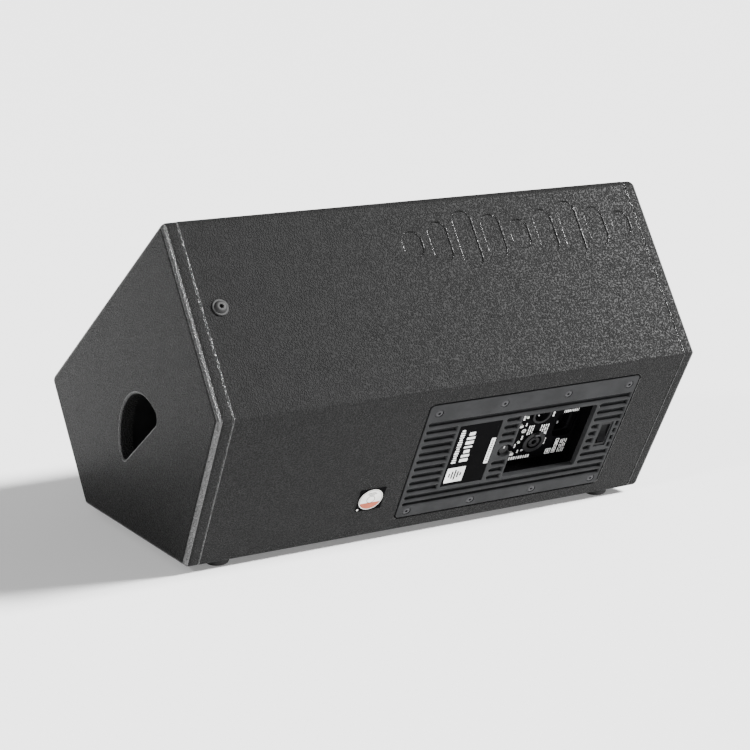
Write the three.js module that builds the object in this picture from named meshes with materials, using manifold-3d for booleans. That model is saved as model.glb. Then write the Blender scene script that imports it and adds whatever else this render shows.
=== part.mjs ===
// A powered two-way loudspeaker in a five-sided plywood cabinet, lying on its base as a stage monitor.
// Millimetres, +Z up. X runs along the cabinet, the handle end is +X. The sloping front faces -Y and up.
// The origin is under the middle of the overall box, at the soles of the feet.
import * as THREE from 'three';
import { mergeVertices } from 'three/addons/utils/BufferGeometryUtils.js';
import Module from 'manifold-3d';

const wasm = await Module();
wasm.setup();

// ---- Driving dimensions ----
const LENGTH = 590;
const FRONT_WIDTH = 410; // across the sloping front, square to the length
const LOW_SIDE = 162;
const HIGH_SIDE = 218.5;
const BASE_WIDTH = 275.5;
const TILT = THREE.MathUtils.degToRad(33); // of the front from horizontal
const WALL = 15;
const END_WALL = 16.5;
const GAP = 0.3; // between pieces that touch
const END_CORNERS = { front: 9, base: 8.5, rear: 8.5 };
const BODY_CORNERS = { front: 8, base: 5, rear: 3 };
const END_RIM = 8;
const FOOT = { radius: 13, height: 8, sole: 8.5, x: 247, rearInset: 20, frontInset: 22 };

const BAFFLE = { front: -26, thickness: 15 };
const GRILLE = { front: -2.5, sheet: 1.5, edge: 20 };
const FOAM_THICKNESS = 4;
const WOOFER = { x: -110, flange: 155, hole: 142, travel: 5 };
const HORN = { x: 163, flange: [170, 244], mouth: [73, 109], throat: 12.7, depth: 95, wall: 3 };
const PORT = { x: 163, u: 157, bore: 25, wall: 2.5, lip: 31, length: 104 };

const HANDLE = { u: 2, chord: -162, arcRadius: 64.4, arcCentre: -175.4, corner: 9, chamfer: 4, depth: 48 };
const POLE = { u: 0, v: -190, bore: 18, wall: 3, depth: 92, flange: 44, flangeThickness: 3 };
const RIGGING = { x: 258.5, v: -100, shank: 4, head: 6.5, flange: 9 };

// The amplifier plate, placed from the middle of the length and down the rear face from its top edge.
const PLATE = { x: -90.45, down: 103.15, width: 271, height: 162.3, thickness: 6, corner: 4.5, gap: 1.8 };
// Grooves along the plate with ribs left between them: a flat floor, then sides that flare out to the face.
const GROOVE = { count: 12, pitch: 10.6, centre: -5.05, start: -130.7, end: 132.7, floor: 4.6, flare: 2.2 };
const GROOVE_DEPTH = 3.6;
const LABEL = { x: -61.6, y: 0.65, width: 54.2, height: 88.7, seat: 1.8, thickness: 1.2 };
const TRAY = { x: 41.45, y: 0.35, width: 98.5, height: 90.5, depth: 22, wall: 1.6, floor: 2, corner: 3 };
const KNOB = { x: -17.1, y: -3.4, radius: 6.4, skirt: 7.6, top: -2.5, well: 9.6, passage: 10 };
const CONNECTOR = { seat: -21.7, face: -19.9, body: 11.2, back: -46 };
const XLR_IN = { x: 39.4, y: -18.85, flange: 14.5, ring: 9.8, core: 7.2, jack: 3.2 };
const XLR_LINK = { x: 37.2, y: 22.2, flange: 12.5, bore: 9.4 };
const LATCH = { width: 6.4, height: 2.8, rise: 11.9 }; // rise is from the middle of the input socket
const INLET = { x: 75.5, y: 0.15, width: 26.8, height: 34, corner: 6.5, wall: 1.85, ledge: 2.4 };
const INLET_DEPTHS = { ledge: -30.5, floor: -40, tips: -33, back: -46 };
const BUTTON = { width: 5.5, height: 3.5, top: -18.5, play: 0.4 };
const GAIN_BUTTON = { x: 11.7, y: 10.1 };
const CONTOUR_BUTTON = { x: 11.7, y: -31.2 };
const LED = { radius: 1.9, hole: 2.3 };
const LIMIT_LED = { x: 18.6, y: 20.8 };
const POWER_LED = { x: 18.2, y: -16.2 };
const BOARD = { x: 12.5, y: -2, width: 87, height: 78, face: -33.4, thickness: 1.6 };
const SWITCH = { x: 116.8, y: -3.15, width: 16.5, height: 36, frame: 2.3, opening: 27.6 };
const ROCKER = { pivot: -7, tilt: THREE.MathUtils.degToRad(8), radius: 13, low: -5, waist: 4.2, side: 2.7 };
const SCREW_COLUMNS = [-122.8, -40.25, 42.3, 124.9];
const SCREW_ROWS = [69.05, -72.85];
const HOUSING = { width: 256, height: 122, depth: 62, sheet: 1.5 };
// Flat areas where the grooves stop: about the label, the connector tray and the mains switch.
const FLATS = [
  { x: -60.6, y: 0.25, width: 60.2, height: 95.3 },
  { x: 41.45, y: 0.25, width: 103.5, height: 95.3 },
  { x: 116.8, y: -3.15, width: 20.5, height: 40 },
];

// The woofer cone's face in the front's frame: radii of rim and neck, height of the rim, fall to the neck.
const CONE = { rim: 117.2, neck: 39.2, top: -21, drop: 55, thickness: 1.6 };

// Raised bars of a level meter, sunk in the high side: heights from the handle end to the other.
const METER = { x: -118.5, down: 53.5, bar: 23, pitch: 34.25, depth: 2 };
const METER_HEIGHTS = [30, 47, 67, 52, 34, 52, 67, 47, 30];

// ---- Materials ----
const FINISHES = {
  coating: [0x232427, 0.82, 0.0],
  castAluminium: [0x2b2c2f, 0.55, 0.4],
  blackPlastic: [0x151517, 0.5, 0.0],
  printedPlate: [0x0b0b0c, 0.4, 0.0],
  rubber: [0x121212, 0.9, 0.0],
  paintedSteel: [0x1c1d1f, 0.5, 0.5],
  brightSteel: [0x9a9b9d, 0.35, 1.0],
  ferrite: [0x3a3a3c, 0.7, 0.2],
  paper: [0x1b1b1c, 0.9, 0.0],
  cloth: [0x8d6f3c, 0.9, 0.0],
  copper: [0xb06a3b, 0.4, 1.0],
  foam: [0x101011, 1.0, 0.0],
  board: [0x1f4a2c, 0.6, 0.0],
  lens: [0xd8e4d8, 0.2, 0.0],
  whiteKey: [0xd9d9d6, 0.5, 0.0],
};

function finish(kind) {
  const [color, roughness, metalness] = FINISHES[kind];
  return new THREE.MeshStandardMaterial({ color, roughness, metalness });
}

// ---- Solids ----
// A closed indexed geometry with shared vertices, no flat triangles and its faces pointing out.
function closed(geometry) {
  const bare = new THREE.BufferGeometry();
  bare.setAttribute('position', geometry.getAttribute('position').clone());
  if (geometry.index) bare.setIndex(geometry.index.clone());
  const merged = mergeVertices(bare, 1e-4);
  const position = merged.getAttribute('position');
  const corners = [0, 1, 2].map(() => new THREE.Vector3());
  const kept = [];
  let volume = 0;
  for (let i = 0; i < merged.index.count; i += 3) {
    const triangle = [0, 1, 2].map((k) => merged.index.getX(i + k));
    if (new Set(triangle).size < 3) continue;
    kept.push(triangle);
    triangle.forEach((vertex, k) => corners[k].fromBufferAttribute(position, vertex));
    volume += corners[0].dot(corners[1].clone().cross(corners[2]));
  }
  if (volume < 0) kept.forEach((triangle) => triangle.reverse());
  merged.setIndex(kept.flat());
  return merged;
}

function toManifold(geometry) {
  const { index, attributes } = closed(geometry);
  const mesh = new wasm.Mesh({
    numProp: 3,
    vertProperties: attributes.position.array,
    triVerts: Uint32Array.from(index.array),
  });
  return new wasm.Manifold(mesh);
}

function toGeometry(manifold) {
  const { vertProperties, triVerts } = manifold.getMesh();
  const geometry = new THREE.BufferGeometry();
  geometry.setAttribute('position', new THREE.BufferAttribute(vertProperties, 3));
  geometry.setIndex(new THREE.BufferAttribute(triVerts, 1));
  return geometry;
}

function join(...geometries) {
  return toGeometry(geometries.map(toManifold).reduce((whole, piece) => whole.add(piece)));
}

function cut(body, ...tools) {
  return toGeometry(tools.map(toManifold).reduce((rest, tool) => rest.subtract(tool), toManifold(body)));
}

function overlap(a, b) {
  return toGeometry(toManifold(a).intersect(toManifold(b)));
}

// An outline pulled along Z from one height to another.
function plate(shape, from, to, curveSegments = 5) {
  const options = { depth: to - from, bevelEnabled: false, curveSegments };
  return new THREE.ExtrudeGeometry(shape, options).translate(0, 0, from);
}

// The same with both rims rounded or chamfered by the given size.
function rimmedPlate(shape, from, to, rim, bevelSegments, curveSegments = 5, grow = 0) {
  const geometry = new THREE.ExtrudeGeometry(shape, {
    depth: to - from - 2 * rim,
    bevelThickness: rim,
    bevelSize: rim,
    bevelOffset: grow - rim,
    bevelSegments,
    curveSegments,
  });
  return geometry.translate(0, 0, from + rim);
}

function box(width, height, from, to, x = 0, y = 0) {
  const geometry = new THREE.BoxGeometry(width, height, to - from);
  return geometry.translate(x, y, (from + to) / 2);
}

// Turned about Z from a list of [radius, height].
function turned(profile, segments = 24, x = 0, y = 0) {
  const points = profile.map(([radius, height]) => new THREE.Vector2(radius, height));
  return new THREE.LatheGeometry(points, segments).rotateX(Math.PI / 2).translate(x, y, 0);
}

function disc(radius, from, to, x = 0, y = 0, segments = 24) {
  return turned([[0, from], [radius, from], [radius, to], [0, to]], segments, x, y);
}

function ring(inner, outer, from, to, segments = 32) {
  const profile = [[inner, from], [outer, from], [outer, to], [inner, to], [inner, from]];
  return turned(profile, segments);
}

// A skin through rings of equal point counts, capped at both ends.
function loft(rings) {
  const count = rings[0].length;
  const positions = rings.flat(2);
  const last = (rings.length - 1) * count;
  const index = [];
  for (let row = 0; row < last; row += count) {
    for (let i = 0; i < count; i += 1) {
      const next = (i + 1) % count;
      index.push(row + i, row + next, row + count + next, row + i, row + count + next, row + count + i);
    }
  }
  for (let i = 1; i < count - 1; i += 1) {
    index.push(0, i + 1, i, last, last + i, last + i + 1);
  }
  const geometry = new THREE.BufferGeometry();
  geometry.setAttribute('position', new THREE.Float32BufferAttribute(positions, 3));
  geometry.setIndex(index);
  return geometry;
}

// ---- Outlines ----
// A polygon whose corners are arcs tangent to their two edges.
function filleted(corners, radii) {
  const shape = new THREE.Shape();
  corners.forEach((corner, i) => {
    const before = corners.at(i - 1).clone().sub(corner).normalize();
    const after = corners[(i + 1) % corners.length].clone().sub(corner).normalize();
    const half = Math.acos(before.dot(after)) / 2;
    const radius = radii[i];
    const middle = before.clone().add(after).normalize();
    const centre = corner.clone().addScaledVector(middle, radius / Math.sin(half));
    const start = corner.clone().addScaledVector(before, radius / Math.tan(half)).sub(centre);
    const end = corner.clone().addScaledVector(after, radius / Math.tan(half)).sub(centre);
    const clockwise = before.cross(after) > 0;
    shape.absarc(centre.x, centre.y, radius, start.angle(), end.angle(), clockwise);
  });
  return shape;
}

function roundedBox(width, height, radius, x = 0, y = 0) {
  const corners = [[-1, -1], [1, -1], [1, 1], [-1, 1]];
  const points = corners.map(([i, j]) => new THREE.Vector2(x + (i * width) / 2, y + (j * height) / 2));
  return filleted(points, Array(4).fill(radius));
}

// A long slot along X with a half-round start and a square end.
function slotOutline(start, end, width, y) {
  const shape = new THREE.Shape();
  shape.moveTo(end, y - width / 2);
  shape.lineTo(end, y + width / 2);
  shape.absarc(start + width / 2, y, width / 2, Math.PI / 2, 1.5 * Math.PI, false);
  return shape;
}

function polygon(points) {
  return new THREE.Shape(points.map(([x, y]) => new THREE.Vector2(x, y)));
}

// ---- Section of the cabinet: u runs up the sloping front, v points out of it ----
const half = FRONT_WIDTH / 2;
const baseRear = [-half + BASE_WIDTH * Math.cos(TILT), -LOW_SIDE - BASE_WIDTH * Math.sin(TILT)];
const SECTION = [[half, 0], [-half, 0], [-half, -LOW_SIDE], baseRear, [half, -HIGH_SIDE]].map(
  ([u, v]) => new THREE.Vector2(u, v),
);
const [TOP_RIDGE, LOW_CORNER, BASE_FRONT, BASE_REAR, REAR_RIDGE] = SECTION;

function sectionOutline({ front, base, rear }) {
  return filleted(SECTION, [front, front, base, base, rear]);
}

// ---- Frames: each is an origin and three axes in the part's own frame ----
const U = new THREE.Vector3(0, Math.cos(TILT), Math.sin(TILT));
const V = new THREE.Vector3(0, -Math.sin(TILT), Math.cos(TILT));
const X = new THREE.Vector3(1, 0, 0);

function sectionOrigin() {
  const outlines = [END_CORNERS, BODY_CORNERS].flatMap((corners) => sectionOutline(corners).getPoints(4));
  const depths = outlines.map(({ x, y }) => x * U.y + y * V.y);
  const baseHeight = BASE_FRONT.x * U.z + BASE_FRONT.y * V.z;
  const middle = (Math.min(...depths) + Math.max(...depths)) / 2;
  return new THREE.Vector3(0, -middle, FOOT.height + GAP - baseHeight);
}

const ORIGIN = sectionOrigin();

function place(x, u, v) {
  return ORIGIN.clone().addScaledVector(X, x).addScaledVector(U, u).addScaledVector(V, v);
}

function frameAt(origin, xAxis, yAxis) {
  const zAxis = xAxis.clone().cross(yAxis);
  return new THREE.Matrix4().makeBasis(xAxis, yAxis, zAxis).setPosition(origin);
}

const upRear = REAR_RIDGE.clone().sub(BASE_REAR).normalize();
const REAR_UP = U.clone().multiplyScalar(upRear.x).addScaledVector(V, upRear.y);
const plateCentre = REAR_RIDGE.clone().addScaledVector(upRear, -PLATE.down);
const BACKWARD = X.clone().negate();

const FRAMES = {
  section: frameAt(ORIGIN, U, V),
  front: frameAt(ORIGIN, X, U),
  rear: frameAt(place(PLATE.x, plateCentre.x, plateCentre.y), BACKWARD, REAR_UP),
  high: frameAt(place(0, half, 0), BACKWARD, V),
  bottomEnd: frameAt(place(-LENGTH / 2, 0, 0), U, V.clone().negate()),
  floor: new THREE.Matrix4(),
};

function moved(geometry, from, to) {
  return geometry.applyMatrix4(FRAMES[to].clone().invert().multiply(FRAMES[from]));
}

// ---- The assembly ----
const part = new THREE.Group();
const groups = {};
for (const [name, matrix] of Object.entries(FRAMES)) {
  const group = new THREE.Group();
  group.name = `${name}_frame`;
  matrix.decompose(group.position, group.quaternion, group.scale);
  groups[name] = group;
  part.add(group);
}

function add(frame, name, kind, geometry) {
  const mesh = new THREE.Mesh(closed(geometry), finish(kind));
  mesh.name = name;
  groups[frame].add(mesh);
  return mesh;
}

// ---- Cabinet ----
const BODY_END = LENGTH / 2 - END_WALL - GAP;

function insideCorner(i) {
  const corner = SECTION[i];
  const before = SECTION.at(i - 1).clone().sub(corner).normalize();
  const after = SECTION[(i + 1) % SECTION.length].clone().sub(corner).normalize();
  const halfAngle = Math.acos(before.dot(after)) / 2;
  return corner.clone().addScaledVector(before.add(after).normalize(), WALL / Math.sin(halfAngle));
}

// One panel of the tube: from corner i to the next, with a mitred or a square end at each.
function tubePanel(i, mitredStart, mitredEnd) {
  const start = SECTION[i];
  const end = SECTION[(i + 1) % SECTION.length];
  const along = end.clone().sub(start).normalize();
  const inward = new THREE.Vector2(-along.y, along.x).multiplyScalar(WALL);
  const trim = along.clone().multiplyScalar(0.6 * GAP);
  const innerStart = mitredStart ? insideCorner(i).add(trim) : start.clone().add(inward);
  const innerEnd = mitredEnd ? insideCorner((i + 1) % SECTION.length).sub(trim) : end.clone().add(inward);
  const outerStart = mitredStart ? start.clone().add(trim) : start;
  const outerEnd = mitredEnd ? end.clone().sub(trim) : end;
  const slab = new THREE.Shape([outerStart, outerEnd, innerEnd, innerStart]);
  const tube = plate(sectionOutline(BODY_CORNERS), -BODY_END, BODY_END, 4);
  return overlap(plate(slab, -BODY_END, BODY_END), tube);
}

function meterBars() {
  const first = METER.x + (METER.pitch * (METER_HEIGHTS.length - 1)) / 2;
  return METER_HEIGHTS.map((height, i) => {
    const x = i * METER.pitch - first;
    const shape = roundedBox(METER.bar, height, METER.bar / 2 - 1, x, -METER.down);
    return moved(plate(shape, -METER.depth, METER.depth, 3), 'high', 'section');
  });
}

function rearOpenings() {
  const { width, height, corner, gap } = PLATE;
  const rebate = roundedBox(width + 2 * gap, height + 2 * gap, corner + gap);
  const window = roundedBox(HOUSING.width + 5, HOUSING.height + 5, 6);
  const pilots = screwPlaces().map(([x, y]) => disc(2.5, -WALL - 5, 0, x, y, 8));
  const tools = [
    plate(rebate, -PLATE.thickness - GAP, 5),
    plate(window, -WALL - 5, 0),
    ...pilots,
  ];
  return tools.map((tool) => moved(tool, 'rear', 'section'));
}

function addTubePanels() {
  const boltHole = disc(RIGGING.shank + 0.4, -WALL - 2, 2, -RIGGING.x, RIGGING.v, 16);
  const high = cut(tubePanel(4, true, false), moved(boltHole, 'high', 'section'), ...meterBars());
  add('section', 'side_panel_high', 'coating', high);
  add('section', 'side_panel_low', 'coating', tubePanel(1, false, true));
  add('section', 'base_panel', 'coating', tubePanel(2, true, true));
  add('section', 'rear_panel', 'coating', cut(tubePanel(3, true, true), ...rearOpenings()));
}

// The handle's opening: a straight edge to the rear and an arc to the front, with round corners.
function handleOutline(grow = 0) {
  const radius = HANDLE.arcRadius + grow;
  const corner = HANDLE.corner + grow;
  const chord = HANDLE.chord - grow;
  const rise = chord + corner - HANDLE.arcCentre;
  const reach = Math.sqrt((radius - corner) ** 2 - rise ** 2);
  const turn = Math.atan2(rise, reach);
  const shape = new THREE.Shape();
  shape.absarc(HANDLE.u + reach, chord + corner, corner, -Math.PI / 2, turn, false);
  shape.absarc(HANDLE.u, HANDLE.arcCentre, radius, turn, Math.PI - turn, false);
  shape.absarc(HANDLE.u - reach, chord + corner, corner, Math.PI - turn, 1.5 * Math.PI, false);
  return shape;
}

// An end panel with its outer face at +LENGTH / 2 and a rounded rim there.
function endPanel() {
  const outer = LENGTH / 2;
  const whole = rimmedPlate(sectionOutline(END_CORNERS), outer - 3 * END_WALL, outer, END_RIM, 3, 4);
  return overlap(whole, box(900, 900, outer - END_WALL, outer + 1));
}

function addEndPanels() {
  const outer = LENGTH / 2;
  const opening = plate(handleOutline(), outer - 2 * END_WALL, outer + 5, 7);
  const lead = HANDLE.chamfer;
  const flare = rimmedPlate(handleOutline(), outer - lead, outer + 20, lead, 2, 7, lead);
  add('section', 'end_panel_top', 'coating', cut(endPanel(), opening, flare));
  const socketHole = disc(POLE.bore + POLE.wall + GAP, -2 * END_WALL, 2, 0, 0, 24);
  const socketRebate = disc(POLE.flange + GAP, -POLE.flangeThickness - GAP, 2, 0, 0, 32);
  const tools = [socketHole, socketRebate].map((tool) => {
    return moved(tool.translate(POLE.u, -POLE.v, 0), 'bottomEnd', 'section');
  });
  const mirrored = endPanel().scale(1, 1, -1);
  add('section', 'end_panel_bottom', 'coating', cut(mirrored, ...tools));
}

function addHandleCup() {
  const rim = BODY_END;
  const floor = rim - HANDLE.depth;
  const outside = rimmedPlate(handleOutline(5), floor, rim + 10, 4, 1, 6);
  const trimmed = overlap(outside, box(900, 900, floor - 5, rim));
  const inside = rimmedPlate(handleOutline(2), floor + 3, rim + 10, 3, 1, 6);
  add('section', 'handle_cup', 'blackPlastic', cut(trimmed, inside));
}

function addPoleSocket() {
  const outer = POLE.bore + POLE.wall;
  const profile = [
    [POLE.bore + 1.5, 0],
    [POLE.flange, 0],
    [POLE.flange, -POLE.flangeThickness],
    [outer, -POLE.flangeThickness],
    [outer, -POLE.depth - POLE.wall],
    [0, -POLE.depth - POLE.wall],
    [0, -POLE.depth],
    [POLE.bore, -POLE.depth],
    [POLE.bore, -1.5],
    [POLE.bore + 1.5, 0],
  ];
  add('bottomEnd', 'pole_socket', 'blackPlastic', turned(profile, 32, POLE.u, -POLE.v));
}

function addFeet() {
  const edge = FOOT.radius - FOOT.sole;
  const profile = [[0, 0]];
  for (let step = 0; step <= 3; step += 1) {
    const angle = (step * Math.PI) / 6;
    profile.push([FOOT.sole + edge * Math.sin(angle), edge * (1 - Math.cos(angle))]);
  }
  profile.push([FOOT.radius, FOOT.height], [0, FOOT.height]);
  const rear = place(0, BASE_REAR.x, BASE_REAR.y).y - FOOT.rearInset;
  const front = place(0, BASE_FRONT.x, BASE_FRONT.y).y + FOOT.frontInset;
  for (const [row, y] of [['rear', rear], ['front', front]]) {
    for (const [end, side] of [['top', 1], ['bottom', -1]]) {
      add('floor', `foot_${row}_${end}`, 'rubber', turned(profile, 16, side * FOOT.x, y));
    }
  }
}

function addRiggingBolt() {
  const { x, v, shank, head, flange } = RIGGING;
  const top = GAP + 1.6;
  const profile = [
    [0, -20], [shank, -20], [shank, GAP], [flange, GAP], [flange, top - 0.4], [flange - 0.6, top],
    [head, top], [head - 0.8, top + 2.4], [0, top + 3.2],
  ];
  const hex = new THREE.CylinderGeometry(2.6, 2.6, 6, 6).rotateX(Math.PI / 2).translate(-x, v, top + 4);
  add('high', 'rigging_bolt', 'paintedSteel', cut(turned(profile, 22, -x, v), hex));
}

// ---- Front: baffle, grille, drivers and ports. Here x is X, y is U and z is V ----
const INSIDE_X = BODY_END - GAP;
const INSIDE_U = half - WALL - GAP;

function addBaffle() {
  const { front, thickness } = BAFFLE;
  const back = front - thickness;
  const hornHole = roundedBox(2 * HORN.mouth[0] + 12, 2 * HORN.mouth[1] + 12, 20, HORN.x, 0);
  const wooferHole = disc(WOOFER.hole, back - 5, front + 5, WOOFER.x, 0, 40);
  const tools = [wooferHole, plate(hornHole, back - 5, front + 5)];
  for (const side of [-1, 1]) {
    tools.push(disc(PORT.bore + PORT.wall + GAP, back - 5, front + 5, PORT.x, side * PORT.u));
  }
  add('front', 'front_baffle', 'coating', cut(box(2 * INSIDE_X, 2 * INSIDE_U, back, front), ...tools));
}

function addGrille() {
  const { front, sheet, edge } = GRILLE;
  const outline = roundedBox(2 * INSIDE_X, 2 * INSIDE_U, 4);
  const inside = roundedBox(2 * (INSIDE_X - sheet), 2 * (INSIDE_U - sheet), 2.5);
  const sheetBlock = plate(outline, front - edge, front, 2);
  const hollow = plate(inside, front - edge - 5, front - sheet, 2);
  add('front', 'grille', 'paintedSteel', cut(sheetBlock, hollow));
  const back = front - sheet - GAP;
  const foam = roundedBox(2 * (INSIDE_X - sheet - GAP), 2 * (INSIDE_U - sheet - GAP), 2);
  add('front', 'grille_foam', 'foam', plate(foam, back - FOAM_THICKNESS, back, 2));
}

// Height of the cone's face at a radius between its rim and its neck.
function coneDepth(radius) {
  return CONE.top - CONE.drop * ((CONE.rim - radius) / (CONE.rim - CONE.neck)) ** 1.15;
}

function wooferBasket() {
  const seat = BAFFLE.front + GAP;
  const shell = turned([
    [130, seat + 4.2], [WOOFER.flange, seat + 4.2], [WOOFER.flange, seat], [WOOFER.hole - 1.5, seat],
    [WOOFER.hole - 3, -60], [97, -104], [92, -114.2], [60, -114.2], [60, -110.2], [84, -110.2], [84, -98],
    [94, -98], [133, -58], [133, seat - 2], [130, seat], [130, seat + 4.2],
  ], 28);
  const windows = [0, 1, 2, 3, 4, 5].map((i) => {
    return box(70, 70, -92, -52, 0, 125).rotateZ((i * Math.PI) / 3);
  });
  return cut(shell, ...windows);
}

function wooferSurround() {
  const profile = [[117.6, -21.2], [117.6, -20.2]];
  const [centre, outer, inner, base] = [127, 8.4, 7.4, -20.2];
  const arc = (radius, step) => {
    const angle = Math.PI - (step * Math.PI) / 4;
    return [centre + radius * Math.cos(angle), base + radius * Math.sin(angle)];
  };
  for (let step = 0; step <= 4; step += 1) profile.push(arc(outer, step));
  profile.push([140, base], [140, base - 1]);
  profile.push([centre + inner, base - 1]);
  for (let step = 4; step >= 0; step -= 1) profile.push(arc(inner, step));
  profile.push([centre - inner, base - 1], [117.6, -21.2]);
  return turned(profile, 28);
}

function wooferCone() {
  const radii = [0, 1, 2, 3, 4].map((i) => CONE.rim - ((CONE.rim - CONE.neck) * i) / 4);
  const face = radii.map((radius) => [radius, coneDepth(radius)]);
  const back = radii.map((radius) => [radius, coneDepth(radius) - CONE.thickness]).reverse();
  return turned([...face, ...back, face[0]], 28);
}

function wooferDustCap() {
  const [rim, height, skin] = [47.5, 17, 1.2];
  const base = coneDepth(rim) + 2;
  const dome = (radius, drop) => {
    return [1, 0.8, 0.5, 0.25, 0].map((share) => {
      return [radius * share, base + (height - drop) * Math.sqrt(1 - (0.98 * share) ** 2)];
    });
  };
  return turned([...dome(rim, 0), ...dome(rim - skin, skin).reverse(), dome(rim, 0)[0]], 24);
}

function wooferSpider() {
  const profile = [];
  const waves = (base) => {
    const row = [];
    for (let step = 0; step <= 8; step += 1) {
      row.push([40.5 + 44 * (step / 8), base + (step % 2 ? 1.3 : -1.3)]);
    }
    return row;
  };
  profile.push(...waves(-94.5), [93, -94.5], [93, -97.5], [84.5, -97.5], ...waves(-95.7).reverse());
  profile.push(profile[0]);
  return turned(profile, 18);
}

function addWoofer() {
  const yoke = [
    [12, -151], [78, -151], [78, -143.3], [36.2, -143.3], [36.2, -114.5], [12, -114.5], [12, -151],
  ];
  const coil = [
    [37.4, -74], [38.6, -74], [38.6, -110], [39.4, -110], [39.4, -126], [37.4, -126], [37.4, -74],
  ];
  const pieces = [
    ['woofer_basket', 'paintedSteel', wooferBasket()],
    ['woofer_surround', 'rubber', wooferSurround()],
    ['woofer_cone', 'paper', wooferCone()],
    ['woofer_dust_cap', 'paper', wooferDustCap()],
    ['woofer_voice_coil', 'copper', turned(coil, 32)],
    ['woofer_spider', 'cloth', wooferSpider()],
    ['woofer_top_plate', 'brightSteel', ring(40.2, 78, -122.6, -114.5)],
    ['woofer_magnet', 'ferrite', ring(46, 88, -143, -122.9)],
    ['woofer_yoke', 'brightSteel', turned(yoke, 32)],
  ];
  for (const [name, kind, geometry] of pieces) add('front', name, kind, geometry.translate(WOOFER.x, 0, 0));
}

// The horn widens from a round throat to a nearly rectangular mouth.
function hornSkin(grow, overshoot) {
  const rings = [];
  const rows = 5;
  for (let row = 0; row <= rows; row += 1) {
    const share = row / rows;
    const spread = share ** 1.6;
    const power = 2 / (2 + 5 * share);
    const halfX = HORN.throat + (HORN.mouth[0] - HORN.throat) * spread + grow;
    const halfU = HORN.throat + (HORN.mouth[1] - HORN.throat) * spread ** 0.9 + grow;
    const beyond = { 0: -overshoot, [rows]: overshoot }[row] ?? 0;
    const height = BAFFLE.front + 4 - HORN.depth * (1 - share) + beyond;
    const points = [];
    for (let i = 0; i < 24; i += 1) {
      const angle = (i * Math.PI) / 12;
      const [c, s] = [Math.cos(angle), Math.sin(angle)];
      const x = halfX * Math.sign(c) * Math.abs(c) ** power;
      points.push([x, halfU * Math.sign(s) * Math.abs(s) ** power, height]);
    }
    rings.push(points);
  }
  return loft(rings);
}

function addHorn() {
  const seat = BAFFLE.front + GAP;
  const throat = BAFFLE.front + 4 - HORN.depth;
  const flange = plate(roundedBox(...HORN.flange, 12), seat, seat + 4);
  const collar = disc(36, throat - 4, throat + 2);
  const horn = cut(join(flange, hornSkin(HORN.wall, 0), collar), hornSkin(0, 6));
  const top = throat - 4 - GAP;
  const body = [
    [HORN.throat, top], [36, top], [44, top - 8], [52, top - 8], [52, top - 16], [HORN.throat, top - 16],
    [HORN.throat, top],
  ];
  const under = top - 16 - GAP;
  const cover = [[0, under - 22], [42, under - 22], [46, under - 26.3], [40, under - 37], [0, under - 38]];
  const pieces = [
    ['horn_flare', 'blackPlastic', horn],
    ['hf_driver_body', 'castAluminium', turned(body, 28)],
    ['hf_driver_magnet', 'ferrite', ring(16, 52, under - 21.7, under, 28)],
    ['hf_driver_cover', 'blackPlastic', turned(cover, 28)],
  ];
  for (const [name, kind, geometry] of pieces) add('front', name, kind, geometry.translate(HORN.x, 0, 0));
}

function addPorts() {
  const seat = BAFFLE.front + GAP;
  const { bore, wall, lip, length } = PORT;
  const profile = [
    [bore + 2.5, seat + 2.3], [lip, seat + 2.3], [lip, seat], [bore + wall, seat],
    [bore + wall, seat - length], [bore, seat - length], [bore, seat - 2], [bore + 2.5, seat + 2.3],
  ];
  for (const [name, side] of [['port_tube_low', -1], ['port_tube_high', 1]]) {
    add('front', name, 'blackPlastic', turned(profile, 24, PORT.x, side * PORT.u));
  }
}

// ---- Amplifier module. Here x runs to the cabinet's bottom end, y up the rear face and z out of it ----
function screwPlaces() {
  return SCREW_ROWS.flatMap((y) => SCREW_COLUMNS.map((x) => [x, y]));
}

// The tray's space: a rectangle, the knob's round well beside it and a passage between the two.
function traySpace(grow, from, to) {
  const { x, y, width, height, corner } = TRAY;
  const rectangle = roundedBox(width + 2 * grow, height + 2 * grow, corner, x, y);
  const well = disc(KNOB.well + grow, from, to, KNOB.x, KNOB.y, 28);
  const passage = box(20, KNOB.passage + 2 * grow, from, to, KNOB.x + 10, KNOB.y);
  return join(plate(rectangle, from, to, 2), well, passage);
}

function groove(y) {
  const { start, end, floor, flare } = GROOVE;
  const outline = slotOutline(start, end, floor, y);
  return join(plate(outline, -GROOVE_DEPTH, 1, 4), rimmedPlate(outline, -flare, 10, flare, 1, 4, flare));
}

function heatsinkPlate() {
  const { width, height, thickness, corner } = PLATE;
  const first = GROOVE.centre - (GROOVE.pitch * (GROOVE.count - 1)) / 2;
  const grooves = Array.from({ length: GROOVE.count }, (_, i) => groove(first + i * GROOVE.pitch));
  const flats = FLATS.map((flat) => box(flat.width, flat.height, -thickness, 20, flat.x, flat.y));
  const aroundWell = disc(KNOB.well + 2.4, -thickness, 20, KNOB.x, KNOB.y, 28);
  const heads = screwPlaces().flatMap(([x, y]) => [disc(5, -3, 3, x, y, 14), disc(2.7, -9, 0, x, y, 8)]);
  return cut(
    plate(roundedBox(width, height, corner), -thickness, 0, 4),
    cut(join(...grooves), ...flats, aroundWell),
    plate(roundedBox(LABEL.width, LABEL.height, 1, LABEL.x, LABEL.y), -LABEL.seat, 3, 2),
    plate(roundedBox(SWITCH.width, SWITCH.height, 1, SWITCH.x, SWITCH.y), -9, 3, 2),
    traySpace(0, -9, 3),
    ...heads,
  );
}

function labelPlate() {
  const { x, y, width, height, seat, thickness } = LABEL;
  const bottom = -seat + GAP;
  return plate(roundedBox(width - 0.8, height - 0.8, 0.8, x, y), bottom, bottom + thickness, 2);
}

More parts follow.
